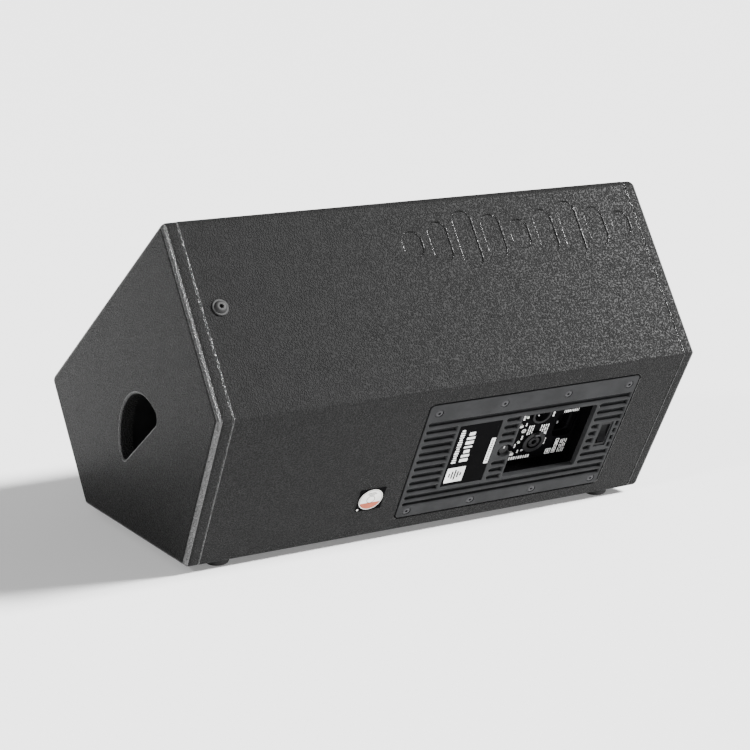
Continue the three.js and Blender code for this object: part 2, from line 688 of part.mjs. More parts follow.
// The slot that the latch slides in, through the tray's floor and into the input socket.
function latchSlot() {
  const floor = -TRAY.depth;
  const { width, height, rise } = LATCH;
  return box(width + 0.8, height + 0.8, floor - 12, floor + 5, XLR_IN.x, XLR_IN.y + rise);
}

function connectorTray() {
  const floor = -TRAY.depth;
  const outside = traySpace(TRAY.wall, floor - TRAY.floor, -PLATE.thickness - GAP);
  const { width, height, play } = BUTTON;
  const through = (shape) => plate(shape, floor - 5, floor + 5, 3);
  const keyHole = ({ x, y }) => box(width + 2 * play, height + 2 * play, floor - 5, floor + 5, x, y);
  const round = ({ x, y }, radius) => disc(radius, floor - 5, floor + 5, x, y, 20);
  return cut(
    outside,
    traySpace(0, floor, 3),
    round(XLR_IN, CONNECTOR.body + 0.4),
    round(XLR_LINK, CONNECTOR.body + 0.4),
    round(KNOB, 4.2),
    round(LIMIT_LED, LED.hole),
    round(POWER_LED, LED.hole),
    keyHole(GAIN_BUTTON),
    keyHole(CONTOUR_BUTTON),
    through(roundedBox(INLET.width, INLET.height, INLET.corner, INLET.x, INLET.y)),
    latchSlot(),
  );
}

// Three holes or pins on a circle about a connector's middle.
function pinCircle({ x, y }, circle, radius, from, to, firstAngle) {
  return [0, 120, 240].map((degrees) => {
    const angle = THREE.MathUtils.degToRad(firstAngle + degrees);
    return disc(radius, from, to, x + circle * Math.cos(angle), y + circle * Math.sin(angle), 10);
  });
}

// A socket for two kinds of plug: a ring-shaped groove about a core, and a jack hole down its middle.
function xlrInput() {
  const { seat, face, body, back } = CONNECTOR;
  const { flange, ring: groove, core, jack } = XLR_IN;
  const top = face - 0.3;
  const profile = [
    [0, back], [body, back], [body, seat], [flange, seat], [flange, face], [groove, face],
    [groove, face - 11], [core, face - 11], [core, top], [jack, top], [jack, face - 20], [0, face - 20],
  ];
  const holes = pinCircle(XLR_IN, 5.2, 1.1, face - 12, face + 3, 90);
  return cut(turned(profile, 28, XLR_IN.x, XLR_IN.y), ...holes, latchSlot());
}

function xlrLatch() {
  const { width, height, rise } = LATCH;
  return box(width, height, -TRAY.depth - 8, CONNECTOR.seat + 4.2, XLR_IN.x, XLR_IN.y + rise);
}

function xlrLink() {
  const { seat, face, body, back } = CONNECTOR;
  const { flange, bore } = XLR_LINK;
  const profile = [
    [0, back], [body, back], [body, seat], [flange, seat], [flange, face], [bore + 0.8, face],
    [bore, face - 0.8], [bore, face - 14], [0, face - 14],
  ];
  const pins = pinCircle(XLR_LINK, 4, 1.2, face - 15, face - 3.5, 0);
  return join(turned(profile, 28, XLR_LINK.x, XLR_LINK.y), ...pins);
}

// A housing behind the tray's floor: a recess, a ledge, and a cavity with three blades.
function mainsInlet() {
  const { x, y, width, height, corner, wall, ledge } = INLET;
  const outline = (grow) => roundedBox(width + 2 * grow, height + 2 * grow, corner + grow, x, y);
  const top = -TRAY.depth - TRAY.floor - GAP;
  const body = plate(outline(wall), INLET_DEPTHS.back, top, 3);
  const recess = plate(outline(0), INLET_DEPTHS.ledge, top + 5, 3);
  const cavity = plate(outline(-ledge), INLET_DEPTHS.floor, top, 3);
  const blades = [[0, 7], [0, -7], [-4.5, 0]].map(([across, along]) => {
    return box(2, 4, INLET_DEPTHS.floor - 1, INLET_DEPTHS.tips, x + across, y + along);
  });
  return join(cut(body, recess, cavity), ...blades);
}

function switchHousing() {
  const { x, y, width, height, frame, opening } = SWITCH;
  const outside = roundedBox(width - 2 * GAP, height - 2 * GAP, 1, x, y);
  const inside = roundedBox(width - 2 * frame, opening, 0.8, x, y);
  return cut(plate(outside, -24, -1.2, 2), plate(inside, -22, 3, 2));
}

// The rocker's side view is part of a disc about its pivot with a shallow V for its two faces.
function mainsRocker() {
  const { pivot, tilt, radius, low, waist, side } = ROCKER;
  const lift = waist + radius * Math.sin(tilt);
  const lowReach = Math.sqrt(radius ** 2 - low ** 2);
  const liftReach = Math.sqrt(radius ** 2 - lift ** 2);
  const view = polygon([
    [-lowReach, low],
    [lowReach, low],
    [radius, 0],
    [liftReach, lift],
    [0, waist],
    [-liftReach, lift],
    [-radius, 0],
  ]);
  const width = SWITCH.width - 2 * side;
  const rocker = plate(view, -width / 2, width / 2);
  rocker.rotateX(Math.PI / 2).rotateZ(Math.PI / 2);
  return rocker.rotateX(-tilt).translate(SWITCH.x, SWITCH.y, pivot);
}

function levelKnob() {
  const { x, y, radius, skirt, top } = KNOB;
  const base = CONNECTOR.seat + 0.4;
  const profile = [
    [0, base], [skirt, base], [skirt, base + 2], [radius + 0.3, base + 3], [radius, top - 0.8],
    [radius - 0.8, top], [0, top],
  ];
  const shaft = disc(3.1, -31, base + 4);
  const pointer = box(1.2, 4.5, top - 0.7, top + 2, 0, radius - 3.2);
  return cut(join(turned(profile, 28), shaft), pointer).translate(x, y, 0);
}

function controlBoard() {
  const { x, y, width, height, face, thickness } = BOARD;
  const clearance = CONNECTOR.body + 0.5;
  const holes = [XLR_IN, XLR_LINK].map((place) => disc(clearance, -40, -20, place.x, place.y, 24));
  const keySwitch = (place) => box(8, 8, face - 0.5, -TRAY.depth - TRAY.floor - 2.5, place.x, place.y);
  const board = cut(box(width, height, face - thickness, face, x, y), ...holes);
  return join(board, keySwitch(GAIN_BUTTON), keySwitch(CONTOUR_BUTTON));
}

function potentiometer(top) {
  const { x, y } = KNOB;
  const can = box(17, 18, BOARD.face + GAP, top, x, y);
  const bushing = disc(3.9, top - 1, CONNECTOR.seat, x, y, 20);
  return cut(join(can, bushing), disc(3.4, -40, -10, x, y, 20));
}

function buttonKey(bottom, { x, y }) {
  const outline = roundedBox(BUTTON.width, BUTTON.height, 0.6, x, y);
  return rimmedPlate(outline, bottom, BUTTON.top, 0.4, 1, 2);
}

function lamp({ x, y }) {
  const { radius } = LED;
  const base = BOARD.face + GAP;
  const profile = [[0, base], [radius, base], [radius, -21.6], [radius - 0.4, -20.8], [0, -20.4]];
  return turned(profile, 14, x, y);
}

function addControls() {
  const floorBack = -TRAY.depth - TRAY.floor - GAP;
  const keyBottom = floorBack - 0.4;
  add('rear', 'control_board', 'board', controlBoard());
  add('rear', 'level_potentiometer', 'blackPlastic', potentiometer(floorBack));
  add('rear', 'level_knob', 'blackPlastic', levelKnob());
  add('rear', 'gain_button', 'whiteKey', buttonKey(keyBottom, GAIN_BUTTON));
  add('rear', 'contour_button', 'whiteKey', buttonKey(keyBottom, CONTOUR_BUTTON));
  add('rear', 'limit_led', 'lens', lamp(LIMIT_LED));
  add('rear', 'power_led', 'lens', lamp(POWER_LED));
}

function addPlateScrews() {
  const profile = [[0, -18], [2.1, -15], [2.1, -2.7], [4.7, -2.7], [4.7, -1.2], [3.9, -0.4], [0, -0.1]];
  screwPlaces().forEach(([x, y], i) => {
    add('rear', `plate_screw_${i + 1}`, 'paintedSteel', turned(profile, 10, x, y));
  });
}

function addAmplifier() {
  const { width, height, depth, sheet } = HOUSING;
  const front = -PLATE.thickness - GAP;
  const can = cut(
    plate(roundedBox(width, height, 3), -depth, front, 2),
    plate(roundedBox(width - 2 * sheet, height - 2 * sheet, 2), sheet - depth, front + 5, 2),
  );
  const board = -depth + sheet + 2.5;
  const top = board + 1.6;
  const onBoard = top + GAP;
  add('rear', 'heatsink_plate', 'castAluminium', heatsinkPlate());
  add('rear', 'connector_tray', 'printedPlate', connectorTray());
  add('rear', 'amp_housing', 'paintedSteel', can);
  add('rear', 'amp_circuit_board', 'board', box(width - 14, height - 12, board, top));
  add('rear', 'power_transformer', 'ferrite', box(46, 42, onBoard, onBoard + 32, -84, 22));
  add('rear', 'filter_capacitor', 'blackPlastic', disc(15, onBoard, onBoard + 40, -88, -32));
  add('rear', 'heat_transfer_bar', 'castAluminium', box(100, 8, onBoard, front - GAP, -62, 52.5));
  add('rear', 'label_plate', 'printedPlate', labelPlate());
}

function addConnectors() {
  add('rear', 'xlr_input_socket', 'blackPlastic', xlrInput());
  add('rear', 'xlr_input_latch', 'brightSteel', xlrLatch());
  add('rear', 'xlr_link_plug', 'blackPlastic', xlrLink());
  add('rear', 'mains_inlet', 'blackPlastic', mainsInlet());
  add('rear', 'mains_switch_housing', 'blackPlastic', switchHousing());
  add('rear', 'mains_rocker', 'blackPlastic', mainsRocker());
}

addTubePanels();
addEndPanels();
addHandleCup();
addPoleSocket();
addFeet();
addRiggingBolt();
addBaffle();
addGrille();
addWoofer();
addHorn();
addPorts();
addAmplifier();
addConnectors();
addControls();
addPlateScrews();

export default part;
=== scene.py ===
import math

import bmesh
import bpy
from mathutils import Matrix, Vector
from mathutils.geometry import delaunay_2d_cdt


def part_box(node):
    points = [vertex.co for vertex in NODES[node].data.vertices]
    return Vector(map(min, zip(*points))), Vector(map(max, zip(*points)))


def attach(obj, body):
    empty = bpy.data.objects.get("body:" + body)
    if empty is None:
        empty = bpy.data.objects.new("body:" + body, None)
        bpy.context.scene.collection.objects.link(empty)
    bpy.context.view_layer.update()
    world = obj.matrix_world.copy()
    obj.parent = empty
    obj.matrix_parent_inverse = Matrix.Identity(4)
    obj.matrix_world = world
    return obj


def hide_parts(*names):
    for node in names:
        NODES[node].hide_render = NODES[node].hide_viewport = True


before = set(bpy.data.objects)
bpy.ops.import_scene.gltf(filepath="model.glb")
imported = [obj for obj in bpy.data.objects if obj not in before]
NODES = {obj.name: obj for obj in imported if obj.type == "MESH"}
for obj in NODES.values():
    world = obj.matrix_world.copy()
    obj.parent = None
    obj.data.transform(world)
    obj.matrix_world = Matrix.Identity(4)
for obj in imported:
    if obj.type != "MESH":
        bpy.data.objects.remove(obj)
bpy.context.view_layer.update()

# --- Driving dimensions, in millimetres. Shapes are drawn in millimetres and placed in metres.
MM = 0.001
LENGTH = 590.0
FRONT_WIDTH = 410.0
LOW_SIDE = 162.0
HIGH_SIDE = 218.5
BASE_WIDTH = 275.5
TILT = math.radians(33)
WALL = 15.0
END_WALL = 16.5
GAP = 0.3
END_RIM = 8.0
END_RADII = {"front": 9.0, "base": 6.0, "rear": 3.0}
BODY_RADII = {"front": 8.0, "base": 5.0, "rear": 3.0}
BODY_END = LENGTH / 2 - END_WALL - GAP
SEAM_BEVEL = 1.1

HANDLE = {"u": 2.0, "chord": -162.0, "arc": 64.4, "centre": -175.4, "corner": 9.0, "depth": 48.0}
POLE = {"v": -190.0, "bore": 18.0, "wall": 3.0, "depth": 92.0, "flange": 44.0, "thick": 3.0}
RIGGING = {"x": 258.5, "v": -100.0, "head": 6.5, "flange": 9.0}

PLATE = {
    "x": -90.45, "down": 103.15, "width": 271.0, "height": 162.3, "thick": 6.0, "corner": 4.5, "gap": 1.8,
}
GROOVE = {"count": 12, "pitch": 10.6, "centre": -5.05, "floor": 2.7, "shoulder": 2.2, "depth": 4.3}
GROOVE_START, GROOVE_END = -132.9, 134.6
LAST_GROOVE = {"y": -62.5, "floor": 2.0}
TRAY = {"x": 41.45, "y": 0.35, "width": 98.5, "height": 90.5, "wall": 1.6, "corner": 3.0}
TRAY_FLOOR, TRAY_BACK = -22.0, -24.0
KNOB = {
    "x": -17.1, "y": -3.4, "radius": 6.4, "skirt": 7.6, "top": -2.5, "well": 9.2, "passage": 5.0,
    "flutes": 12, "flute_depth": 0.06, "shaft": 3.1, "shaft_end": -31,
}
LABEL = {"x": -61.6, "y": 0.65, "width": 54.2, "height": 88.7, "seat": 1.8, "thick": 1.2}
XLR_IN, XLR_LINK, INLET = (39.4, -18.85), (37.2, 22.2), (75.5, 0.15)
XLR_HOLE, XLR_BODY, LED_HOLE = 11.6, 11.2, 2.3
# Width, height and corner radius.
INLET_MOUTH, BUTTON_HOLE = (26.8, 34, 6.5), (6.3, 4.3, 0.8)
GAIN_BUTTON, CONTOUR_BUTTON = (11.7, 10.1), (11.7, -31.2)
LIMIT_LED, POWER_LED = (18.6, 20.8), (18.2, -16.2)
SWITCH = {
    "x": 116.8, "y": -3.15, "width": 16.5, "height": 36.0, "opening": 27.6, "pivot": -7.0,
    "tilt": math.radians(8),
}
# Print stands this far above a panel, and is rooted this far below its face.
INK, INK_ROOT = 0.06, 0.1
# The gap between words, as a share of their line.
WORD_GAP = 0.08
SCREWS = [(x, y) for y in (69.05, -72.85) for x in (-122.8, -40.25, 42.3, 124.9)]
HOUSING = {"width": 256.0, "height": 122.0}
# Left, right, low and high edges of the flat areas that the grooves stop at.
FLATS = {
    "label": (-90.7, -30.5, -47.4, 47.9),
    "tray": (-8.9, 93.2, -47.4, 47.9),
    "switch": (106.6, 127.0, -23.2, 16.9),
}
METER = {"x": -118.5, "down": 53.5, "bar": 23.0, "pitch": 34.25, "depth": 1.4}
METER_HEIGHTS = [30, 47, 67, 52, 34, 52, 67, 47, 30]
GRILLE = {"front": -2.5, "sheet": 1.5, "edge": 20.0, "cell": 7.6, "web": 1.15, "border": 9.0}
ROUND_LABEL = {"x": 85.5, "down": 146.7, "side": 31.5, "disc": 14.4}

# --- Frames: section (u up the front, v out of it, X), front, rear, high side, bottom end, floor.
AXIS_X = Vector((1, 0, 0))
AXIS_U = Vector((0, math.cos(TILT), math.sin(TILT)))
AXIS_V = Vector((0, -math.sin(TILT), math.cos(TILT)))
HALF = FRONT_WIDTH / 2
BASE_REAR = Vector((-HALF + BASE_WIDTH * math.cos(TILT), -LOW_SIDE - BASE_WIDTH * math.sin(TILT)))
REAR_RIDGE = Vector((HALF, -HIGH_SIDE))
SECTION = [Vector((HALF, 0)), Vector((-HALF, 0)), Vector((-HALF, -LOW_SIDE)), BASE_REAR, REAR_RIDGE]


def section_origin():
    """The middle of the front plane, found from the grille, which is centred on it."""
    low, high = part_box("grille")
    middle = (Vector(low) + Vector(high)) / 2 / MM
    return middle - AXIS_V * (GRILLE["front"] - GRILLE["edge"] / 2)


ORIGIN = section_origin()


def place(x, u, v):
    return ORIGIN + AXIS_X * x + AXIS_U * u + AXIS_V * v


def frame_at(origin, x_axis, y_axis):
    z_axis = x_axis.cross(y_axis)
    rows = [(x_axis[i], y_axis[i], z_axis[i], origin[i]) for i in range(3)]
    return Matrix([*rows, (0, 0, 0, 1)])


UP_REAR = (REAR_RIDGE - BASE_REAR).normalized()
PLATE_CENTRE = REAR_RIDGE - UP_REAR * PLATE["down"]
REAR_UP = AXIS_U * UP_REAR.x + AXIS_V * UP_REAR.y
FRAMES = {
    "section": frame_at(ORIGIN, AXIS_U, AXIS_V),
    "front": frame_at(ORIGIN, AXIS_X, AXIS_U),
    "rear": frame_at(place(PLATE["x"], *PLATE_CENTRE), -AXIS_X, REAR_UP),
    "high": frame_at(place(0, HALF, 0), -AXIS_X, AXIS_V),
    "bottom_end": frame_at(place(-LENGTH / 2, 0, 0), AXIS_U, -AXIS_V),
    "floor": Matrix.Identity(4),
}

# --- Outlines: each takes an inset, and gives the same number of points at every inset.


def arc(cx, cy, radius, start, end, steps):
    span = end - start
    angles = [start + span * i / steps for i in range(steps + 1)]
    return [(cx + radius * math.cos(a), cy + radius * math.sin(a)) for a in angles]


def rounded_box(width, height, radius, x=0.0, y=0.0, steps=6):
    def outline(inset=0.0):
        r = max(radius - inset, 0.02)
        w, h = width / 2 - inset - r, height / 2 - inset - r
        points = []
        for i, (sx, sy) in enumerate(((1, -1), (1, 1), (-1, 1), (-1, -1))):
            start = math.pi / 2 * (i - 1)
            points += arc(x + sx * w, y + sy * h, r, start, start + math.pi / 2, steps)
        return points
    return outline


def box_of(part, less, radius):
    """A rounded box where a part stands, smaller than it by a little in width and height."""
    return rounded_box(part["width"] - less, part["height"] - less, radius, part["x"], part["y"])


def circle(radius, x=0.0, y=0.0, steps=32):
    def outline(inset=0.0):
        return arc(x, y, radius - inset, 0, 2 * math.pi * (1 - 1 / steps), steps - 1)
    return outline


def offset_corners(corners, inset):
    """The corners of a convex polygon whose sides have moved inwards."""
    moved = []
    for i, corner in enumerate(corners):
        before = (corners[i - 1] - corner).normalized()
        after = (corners[(i + 1) % len(corners)] - corner).normalized()
        half = before.angle(after) / 2
        moved.append(corner + (before + after).normalized() * (inset / math.sin(half)))
    return moved


def fillet(before, corner, after, radius, steps):
    """Arc points that round one corner of a polygon."""
    a, b = (before - corner).normalized(), (after - corner).normalized()
    half = a.angle(b) / 2
    centre = corner + (a + b).normalized() * (radius / math.sin(half))
    tangent = radius / math.tan(half)
    start, end = corner + a * tangent - centre, corner + b * tangent - centre
    turn = math.atan2(start.x * end.y - start.y * end.x, start.dot(end))
    first = math.atan2(start.y, start.x)
    return arc(centre.x, centre.y, radius, first, first + turn, steps)


def section_outline(radii, steps=6):
    sizes = [radii["front"], radii["front"], radii["base"], radii["base"], radii["rear"]]

    def outline(inset=0.0):
        corners = offset_corners(SECTION, inset)
        points = []
        for i, corner in enumerate(corners):
            r = max(sizes[i] - inset, 0.05)
            points += fillet(corners[i - 1], corner, corners[(i + 1) % 5], r, steps)
        return points
    return outline


def handle_outline(grow=0.0, steps=6):
    """The finger opening: straight to the rear, an arc to the front, with round corners."""
    def outline(inset=0.0):
        g = grow - inset
        r, c, chord = HANDLE["arc"] + g, HANDLE["corner"] + g, HANDLE["chord"] - g
        rise = chord + c - HANDLE["centre"]
        reach = math.sqrt((r - c) ** 2 - rise ** 2)
        turn = math.atan2(rise, reach)
        right = arc(HANDLE["u"] + reach, chord + c, c, -math.pi / 2, turn, steps)
        top = arc(HANDLE["u"], HANDLE["centre"], r, turn, math.pi - turn, 4 * steps)
        left = arc(HANDLE["u"] - reach, chord + c, c, math.pi - turn, 1.5 * math.pi, steps)
        return right + top[1:-1] + left
    return outline


def tray_outline(inset=0.0):
    """The tray's rectangle, joined on its left by a short passage to the knob's round well."""
    left, right = TRAY["x"] - TRAY["width"] / 2 + inset, TRAY["x"] + TRAY["width"] / 2 - inset
    low, high = TRAY["y"] - TRAY["height"] / 2 + inset, TRAY["y"] + TRAY["height"] / 2 - inset
    r = max(TRAY["corner"] - inset, 0.3)
    points = arc(right - r, low + r, r, -math.pi / 2, 0, 5)
    points += arc(right - r, high - r, r, 0, math.pi / 2, 5)
    points += arc(left + r, high - r, r, math.pi / 2, math.pi, 5)
    well, reach = KNOB["well"] - inset, left - KNOB["x"]
    half = max(KNOB["passage"] - inset, math.sqrt(max(well ** 2 - reach ** 2, 0.0)) + 0.3)
    turn = math.asin(half / well)
    points.append((left, KNOB["y"] + half))
    points += arc(KNOB["x"], KNOB["y"], well, turn, 2 * math.pi - turn, 40)
    points.append((left, KNOB["y"] - half))
    points += arc(left + r, low + r, r, math.pi, 1.5 * math.pi, 5)
    return points


def groove_outline(start, end, y, floor, round_start):
    def outline(inset=0.0):
        r = floor - inset
        if round_start:
            left = arc(start + floor, y, r, math.pi / 2, 1.5 * math.pi, 8)
        else:
            left = [(start + inset, y + r), (start + inset, y - r)]
        return [(end - inset, y + r), *left, (end - inset, y - r)]
    return outline


# --- Mesh building


def at(outline, z):
    return [(x, y, z) for x, y in outline]


def skin(bm, rings):
    """Quads between rings of equal point counts. Returns the rings' vertices."""
    rows = [[bm.verts.new(p) for p in ring] for ring in rings]
    for lower, upper in zip(rows, rows[1:]):
        for i in range(len(lower)):
            j = (i + 1) % len(lower)
            bm.faces.new((lower[i], lower[j], upper[j], upper[i])).smooth = True
    return rows


def plane_axes(points):
    """Two axes of the plane that a loop of points lies in."""
    normal = Vector((0, 0, 0))
    for a, b in zip(points, points[1:] + points[:1]):
        normal += a.cross(b)
    normal.normalize()
    guide = Vector((0, 0, 1)) if abs(normal.z) < 0.9 else Vector((1, 0, 0))
    first = guide.cross(normal).normalized()
    return first, normal.cross(first)


def inside_loops(point, loops):
    """True where a point is inside an odd number of loops."""
    crossings = 0
    for loop in loops:
        for a, b in zip(loop, loop[1:] + loop[:1]):
            if (a.y > point.y) != (b.y > point.y):
                reach = a.x + (point.y - a.y) * (b.x - a.x) / (b.y - a.y)
                crossings += point.x < reach
    return crossings % 2 == 1


def fill(bm, loops):
    """Flat faces over the first loop, less the others."""
    if len(loops) == 1:
        bm.faces.new(loops[0])
        return
    vertices = [v for loop in loops for v in loop]
    first, second = plane_axes([v.co for v in loops[0]])
    flat = [[Vector((v.co.dot(first), v.co.dot(second))) for v in loop] for loop in loops]
    edges = []
    start = 0
    for loop in loops:
        edges += [(start + i, start + (i + 1) % len(loop)) for i in range(len(loop))]
        start += len(loop)
    result = delaunay_2d_cdt([p for loop in flat for p in loop], edges, [], 0, 1e-5)
    points, faces, sources = result[0], result[2], result[3]
    for face in faces:
        centre = sum((points[i] for i in face), Vector((0, 0))) / 3
        if inside_loops(centre, flat):
            corners = [vertices[sources[i][0]] for i in face]
            if len(set(corners)) == 3 and not bm.faces.get(corners):
                bm.faces.new(corners)


def pierced_faces(bm, front, back, holes, pockets):
    """The front and back of a plate, with the walls of its holes, and pockets with a floor each."""
    through = [skin(bm, wall) for wall in holes]
    sunk = [skin(bm, wall) for wall in pockets]
    fill(bm, [front, *[wall[0] for wall in through + sunk]])
    fill(bm, [back, *[wall[-1] for wall in through]])
    for wall in sunk:
        fill(bm, [wall[-1]])


def slab(bm, outer, holes=(), pockets=()):
    """A plate. Each wall is a list of rings from front to back."""
    edge = skin(bm, outer)
    pierced_faces(bm, edge[0], edge[-1], holes, pockets)


def rim(outline, top, size, steps=4, hole=False):
    """Rings of a rounded edge, from the flat top down: outwards on a block, inwards on a hole."""
    rings = []
    for i in range(steps + 1):
        a = math.pi / 2 * i / steps
        inset = size * (1 - math.sin(a))
        rings.append(at(outline(-inset if hole else inset), top - size * (1 - math.cos(a))))
    return rings


def lead_in(outline, top, size, steps=4):
    return rim(outline, top, size, steps, hole=True)


def bar(bm, outline, bottom, top, size, steps=4):
    """A closed block whose upper rim is rounded."""
    slab(bm, [*rim(outline, top, size, steps), at(outline(), bottom)])


def raised(profile, base):
    return [(radius, base + height) for radius, height in profile]


def turned(bm, profile, segments, x=0.0, y=0.0):
    """A surface turned about Z from (radius, height) pairs. A radius of zero is one point."""
    ring_rows = []
    for radius, height in profile:
        if radius < 1e-6:
            ring_rows.append([bm.verts.new((x, y, height))])
            continue
        angles = [2 * math.pi * i / segments for i in range(segments)]
        row = [bm.verts.new((x + radius * math.cos(a), y + radius * math.sin(a), height)) for a in angles]
        ring_rows.append(row)
    for lower, upper in zip(ring_rows, ring_rows[1:]):
        for i in range(segments):
            j = (i + 1) % segments
            corners = [row[k % len(row)] for row, k in ((lower, i), (lower, j), (upper, j), (upper, i))]
            unique = list(dict.fromkeys(corners))
            if len(unique) > 2:
                bm.faces.new(unique).smooth = True


def steady_normals(mesh, sharp):
    """Corner normals weighted by flat area, so wide flat faces stay flat beside rounded rims."""
    areas = {}
    keys = []
    around = [[] for _ in mesh.vertices]
    for face in mesh.polygons:
        key = tuple(round(part, 3) for part in face.normal)
        keys.append(key)
        areas[key] = areas.get(key, 0.0) + face.area
        for vertex in face.vertices:
            around[vertex].append(face.index)
    flats = [face.normal * areas[key] for face, key in zip(mesh.polygons, keys)]
    limit = math.cos(math.radians(sharp))
    normals = []
    for face in mesh.polygons:
        own = face.normal.copy()
        for vertex in face.vertices:
            total = Vector()
            for k in around[vertex]:
                if own.dot(flats[k]) > limit * flats[k].length:
                    total += flats[k]
            normals.append(total.normalized() if face.use_smooth and total.length > 0 else own)
    mesh.normals_split_custom_set(normals)


def piece(name, bm, where, finish, stands_for=None, body="cabinet", sharp=38, move=None):
    """Makes an object from millimetres in a named frame. It rides on a body, and can replace a CAD node."""
    bmesh.ops.remove_doubles(bm, verts=bm.verts, dist=1e-4)
    if move:
        bm.transform(move)
    bmesh.ops.recalc_face_normals(bm, faces=bm.faces)
    bm.transform(Matrix.Scale(MM, 4) @ FRAMES[where])
    mesh = bpy.data.meshes.new(name)
    bm.to_mesh(mesh)
    bm.free()
    mesh.set_sharp_from_angle(angle=math.radians(sharp))
    steady_normals(mesh, sharp)
    mesh.materials.append(MATERIALS[finish])
    obj = bpy.data.objects.new(name, mesh)
    bpy.context.scene.collection.objects.link(obj)
    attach(obj, body)
    if stands_for:
        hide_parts(stands_for)
    return obj


# --- Materials


class Nodes:
    """A small helper that adds and links shader nodes."""

    def __init__(self, name):
        self.material = bpy.data.materials.new(name)
        self.material.use_nodes = True
        self.tree = self.material.node_tree
        self.shader = self.tree.nodes["Principled BSDF"]
        self.coordinates = self.tree.nodes.new("ShaderNodeTexCoord").outputs["Object"]

    def add(self, kind, values):
        """A new node with its sockets set to numbers and colours, or linked."""
        node = self.tree.nodes.new("ShaderNode" + kind)
        for socket, value in values.items():
            self.feed(node.inputs[socket], value)
        return node

    def feed(self, socket, value):
        if isinstance(value, (int, float, tuple)):
            socket.default_value = value
        else:
            self.tree.links.new(value, socket)

    def set(self, socket, value):
        self.feed(self.shader.inputs[socket], value)

    def noise(self, scale, detail=3.0, roughness=0.55):
        values = {"Vector": self.coordinates, "Scale": scale, "Detail": detail, "Roughness": roughness}
        return self.add("TexNoise", values).outputs["Fac"]

    def voronoi(self, scale, feature="F1"):
        node = self.add("TexVoronoi", {"Vector": self.coordinates, "Scale": scale})
        node.feature = feature
        return node.outputs["Distance"]

    def wave(self, scale, axis):
        node = self.add("TexWave", {"Vector": self.coordinates, "Scale": scale})
        node.bands_direction = axis
        return node.outputs["Fac"]

    def ramp(self, source, low, high, start=0.0, end=1.0):
        values = {"Value": source, "From Min": start, "From Max": end, "To Min": low, "To Max": high}
        return self.add("MapRange", values).outputs["Result"]

    def blend(self, factor, first, second):
        node = self.add("Mix", {})
        node.data_type = "RGBA"
        for socket, value in (("A", (*first, 1)), ("B", (*second, 1)), ("Factor", factor)):
            self.feed(node.inputs[socket], value)
        return node.outputs["Result"]

    def math(self, operation, first, second):
        node = self.add("Math", {})
        node.operation = operation
        self.feed(node.inputs[0], first)
        self.feed(node.inputs[1], second)
        return node.outputs["Value"]

    def bump(self, height, strength, distance):
        values = {"Height": height, "Strength": strength, "Distance": distance}
        return self.add("Bump", values).outputs["Normal"]


def coating(name, painted_hollow_shade, grain, gloss):
    """Black textured paint: blunt grains under 2 mm apart, in slightly lighter and darker patches. The colour
    is lighter on the grain tops and darker in the hollows between them: painted highlight and painted shade.
    """
    n = Nodes(name)
    spacing = n.voronoi(620.0)
    uneven = n.noise(1100.0, 2.0, 0.6)
    slow = n.noise(60.0, 2.0, 0.5)
    bumps = n.ramp(n.math("ADD", spacing, n.math("MULTIPLY", uneven, 0.3)), 1.0, 0.0, 0.32, 0.75)
    patches = n.ramp(slow, 0.75, 1.25, 0.3, 0.7)
    # Colour follows the bump height: painted shade in the hollows, painted highlight on the grain tops. The
    # slow patches are tone that differs at random.
    shade = n.math("MULTIPLY", bumps, patches)
    n.set("Base Color", n.blend(shade, (painted_hollow_shade, painted_hollow_shade, painted_hollow_shade), (grain, grain, grain)))
    n.set("Roughness", n.ramp(uneven, 0.24, 0.42, 0.35, 0.65))
    n.set("Specular IOR Level", gloss)
    n.set("Normal", n.bump(bumps, 1.0, 0.0016))
    return n.material


def satin(name, colour, roughness, grain_scale, grain_depth,
          metallic=0.0, spread=0.06, coat=0.0, gloss=0.3):
    """A smooth finish with faint mottling in colour, roughness and height."""
    n = Nodes(name)
    mottle = n.noise(40.0, 4.0, 0.6)
    grain = n.noise(grain_scale, 3.0, 0.6)
    darker = tuple(c * 0.82 for c in colour)
    lighter = tuple(min(c * 1.18, 1.0) for c in colour)
    n.set("Base Color", n.blend(n.ramp(mottle, 0.0, 1.0, 0.35, 0.65), darker, lighter))
    n.set("Roughness", n.ramp(grain, roughness - spread, roughness + spread, 0.3, 0.7))
    n.set("Metallic", metallic)
    n.set("Specular IOR Level", gloss)
    if coat:
        n.set("Coat Weight", coat)
        n.set("Coat Roughness", 0.12)
    n.set("Normal", n.bump(grain, 0.35, grain_depth))
    return n.material


def foam():
    n = Nodes("open_foam")
    cells = n.voronoi(700.0)
    # Colour is darkest at the cell centres, where the bump is lowest: painted shade in the pores.
    n.set("Base Color", n.blend(cells, (0.004, 0.004, 0.004), (0.022, 0.022, 0.023)))
    n.set("Roughness", 0.95)
    n.set("Normal", n.bump(cells, 1.0, 0.001))
    return n.material


def woven(name, dark, light):
    """Resin-dipped cloth: two crossed sets of threads."""
    n = Nodes(name)
    threads = n.math("MAXIMUM", n.wave(260.0, "X"), n.wave(260.0, "Y"))
    n.set("Base Color", n.blend(threads, dark, light))
    n.set("Roughness", 0.85)
    n.set("Normal", n.bump(threads, 0.8, 0.0005))
    return n.material


def circuit_board():
    n = Nodes("circuit_board")
    tracks = n.voronoi(220.0, "DISTANCE_TO_EDGE")
    on_track = n.ramp(tracks, 1.0, 0.0, 0.02, 0.06)
    n.set("Base Color", n.blend(on_track, (0.006, 0.045, 0.018), (0.03, 0.13, 0.05)))
    n.set("Roughness", n.ramp(on_track, 0.32, 0.5))
    n.set("Normal", n.bump(on_track, 0.5, 0.00005))
    return n.material


